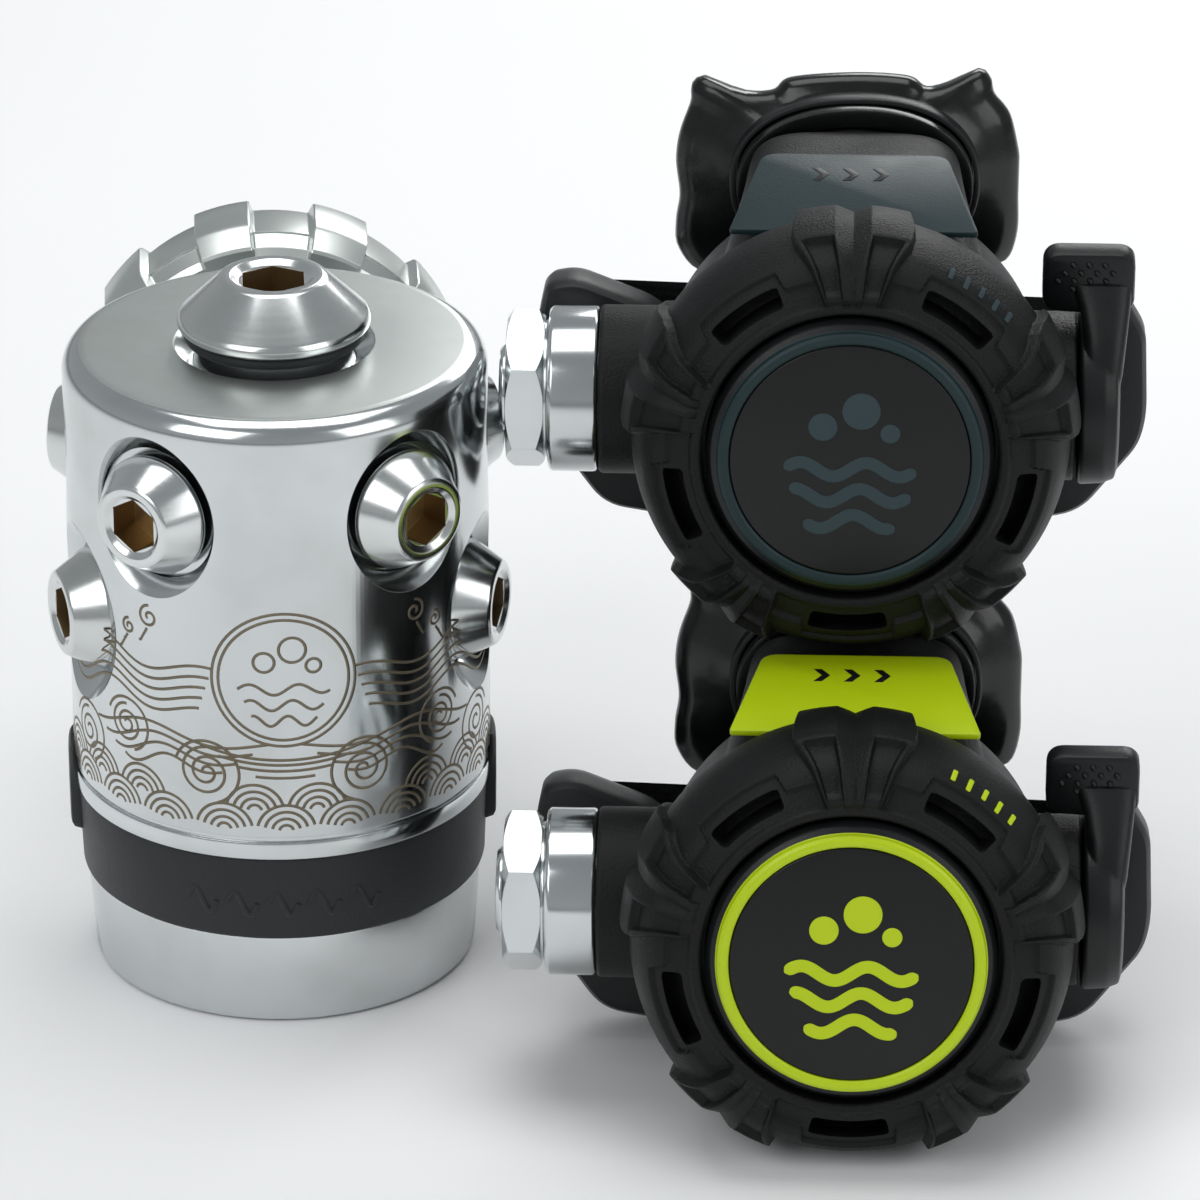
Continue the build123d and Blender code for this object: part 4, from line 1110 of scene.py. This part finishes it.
def swell(u0, u1, z, high, waves, phase, fade):
    """Long rolling line whose swing grows away from the middle."""
    out = []
    for i in range(61):
        t = i / 60
        u = u0 + (u1 - u0) * t
        out.append((u, z + high * (0.4 + fade * t) * sin(2 * pi * waves * t + phase)))
    return out


def engraving_lines():
    """Generic sea pattern: ringed medallion, rolling swells, crest spirals and scale arcs."""
    mz = 52.6
    lines = [arc(0, mz, 9.7), arc(0, mz, 8.8)]
    for i in range(3):
        half, z = 6.2 - 0.9 * i, mz - 1.4 - 2.3 * i
        lines.append([(-half + half * k / 20,
                       z + 0.75 * sin(3.8 * pi * k / 40 + 0.6 * i)) for k in range(41)])
    lines += [arc(-2.6, mz + 2.6, 1.4), arc(1.2, mz + 4.4, 1.8), arc(4.0, mz + 2.0, 1.0)]
    for side in (-1, 1):
        half = []
        for i in range(5):
            line = swell(9.6 + 0.5 * i, 37.0, mz + 0.6, 1.5, 1.6, 1.2 + 0.22 * i, 1.0)
            half.append([(u, z - 1.5 * i) for u, z in line])
        for i in range(4):
            line = swell(2.2 + 2.1 * i, 30.0 - 2 * i, mz - 9.6, 1.3, 1.3, 2.9 + 0.3 * i, 0.8)
            half.append([(u, z - 1.35 * i) for u, z in line])
        for u, z, r in ((10.8, 38.4, 3.7), (23.5, 42.5, 2.9), (33.0, 38.0, 3.3)):
            half += [spiral_line(u, z, r, 2.2), arc(u, z, r + 0.9, 20, 250, 40)]
        for u, z, r in ((19.0, 59.5, 1.7), (22.6, 57.2, 1.2)):
            stalk = [(u + r * 0.2, z - r), (u + 1.5, z - r - 2.0), (u + 4.6, z - r - 2.6)]
            half += [spiral_line(u, z, r, 1.4), stalk]
        lines += [[(side * u, z) for u, z in line] for line in half]
    for row, z in enumerate((30.2, 33.2)):
        for k in range(-7, 8):
            u = k * 8.4 + 4.2 * row
            if abs(u) > 44 or (row and abs(abs(u) - 10.8) < 3.4):
                continue
            lines += [arc(u, z, r, 12, 168, 22) for r in (3.9, 2.9, 1.9, 0.95)]
    for i, half in enumerate((11.5, 9.0, 6.5, 4.0)):
        steps = [-half + half * k / 15 for k in range(31)]
        lines.append([(u, 42.4 - 1.35 * i - 0.012 * (half ** 2 - u ** 2)) for u in steps])
    return lines


def band_marks():
    """Row of large plain wave marks raised on the band's front."""
    starts = [k * 5.6 - 2.7 for k in range(-2, 3)]
    return [[(u + 0.15 * i, 18.9 + 1.7 * sin(2 * pi * i / 28)) for i in range(29)] for u in starts]


def within(radius, top):
    """Picks the second finish inside a radius and below a height."""
    return lambda p: int(hypot(p.x, p.y) < radius and p.z < top)


def first_stage():
    """Build every outer piece of the first stage."""
    root = "first_stage"
    piece("barrel", barrel_mesh(), UP, [CHROME, SATIN], root, "first_stage_body", 30,
          lambda p: int(p.z > TOP - 0.35 and hypot(p.x, p.y) < 26.2))
    piece("foot_cap", cap_mesh(), UP, [CHROME], root, "diaphragm_cap", 30)
    piece("rubber_band", band_mesh(), UP, [RUBBER], root, "grip_band", 40)
    for node, (places, level, _, thread) in PORTS.items():
        for i, (angle, seat) in enumerate(places):
            piece(f"{node}_{i}", plug_mesh(seat, thread), UP @ port(angle, level), [TURNED, SOCKET], root,
                  node,
                  28, within(3.83, seat + 5.95))
    piece("top_plug", end_plug_mesh(), UP, [TURNED, SOCKET], root, "end_plug", 28,
          within(4.76, TOP + 8.85))
    piece("wheel", wheel_mesh(), UP, [SATIN], "din_wheel", "din_handwheel", 24)
    piece("screw", screw_mesh(), UP, [CHROME], "din_wheel", "din_screw", 35)
    grow("engraving", lines_mesh("engraving_lines", engraving_lines()), wrap_tree("wrap_lines", ENGRAVED),
         {"Barrel radius": (BARREL_R + 0.004) * MM, "Line width": 0.42 * MM, "Stand out": 0.012 * MM}, root)
    grow("band_pattern", lines_mesh("band_lines", band_marks()), wrap_tree("wrap_marks", RUBBER),
         {"Barrel radius": 27.8 * MM, "Line width": 0.85 * MM, "Stand out": 0.22 * MM}, root)


def pad_dots(unit):
    """Raised dots on the thumb pad, in four staggered rows of (count, height, shift)."""
    points = []
    for count, z, across in ((3, 3.1, 0.0), (4, 1.9, 0.0), (4, 0.7, -0.9), (3, -0.5, 0.0)):
        for i in range(count):
            points.append(UNITS[unit] @ PAD @ Vector(((i - (count - 1) / 2) * 2.1 + across, -1.8, z)))
    mesh = bpy.data.meshes.new(unit + "_dot_points")
    mesh.from_pydata(points, [], [])
    grow(unit + "_pad_dots", mesh, scatter_tree(unit + "_dots", NYLON_FINE),
         {"Dot radius": 0.5 * MM, "Flatness": 0.8, "Seed": 7}, unit + "_venturi_lever_body")


def pressed(node, body):
    """Copy of a spring or diaphragm that rides on a body in place of the carried-over part; its shape stays as
    imported.
    """
    obj = add_object(node + "_soft", frame["nodes"][node].data.copy())
    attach(obj, body)
    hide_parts(node)
    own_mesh(obj)


first_stage()
pressed("main_valve_spring", "first_stage")
pressed("main_diaphragm", "first_stage")
for name in UNITS:
    pad_dots(name)
    for soft, joint in (("_purge_spring", "_purge_press"), ("_diaphragm", "_purge_press"),
                        ("_poppet_spring", "_poppet_slide")):
        pressed(name + soft, name + "_second_stage")
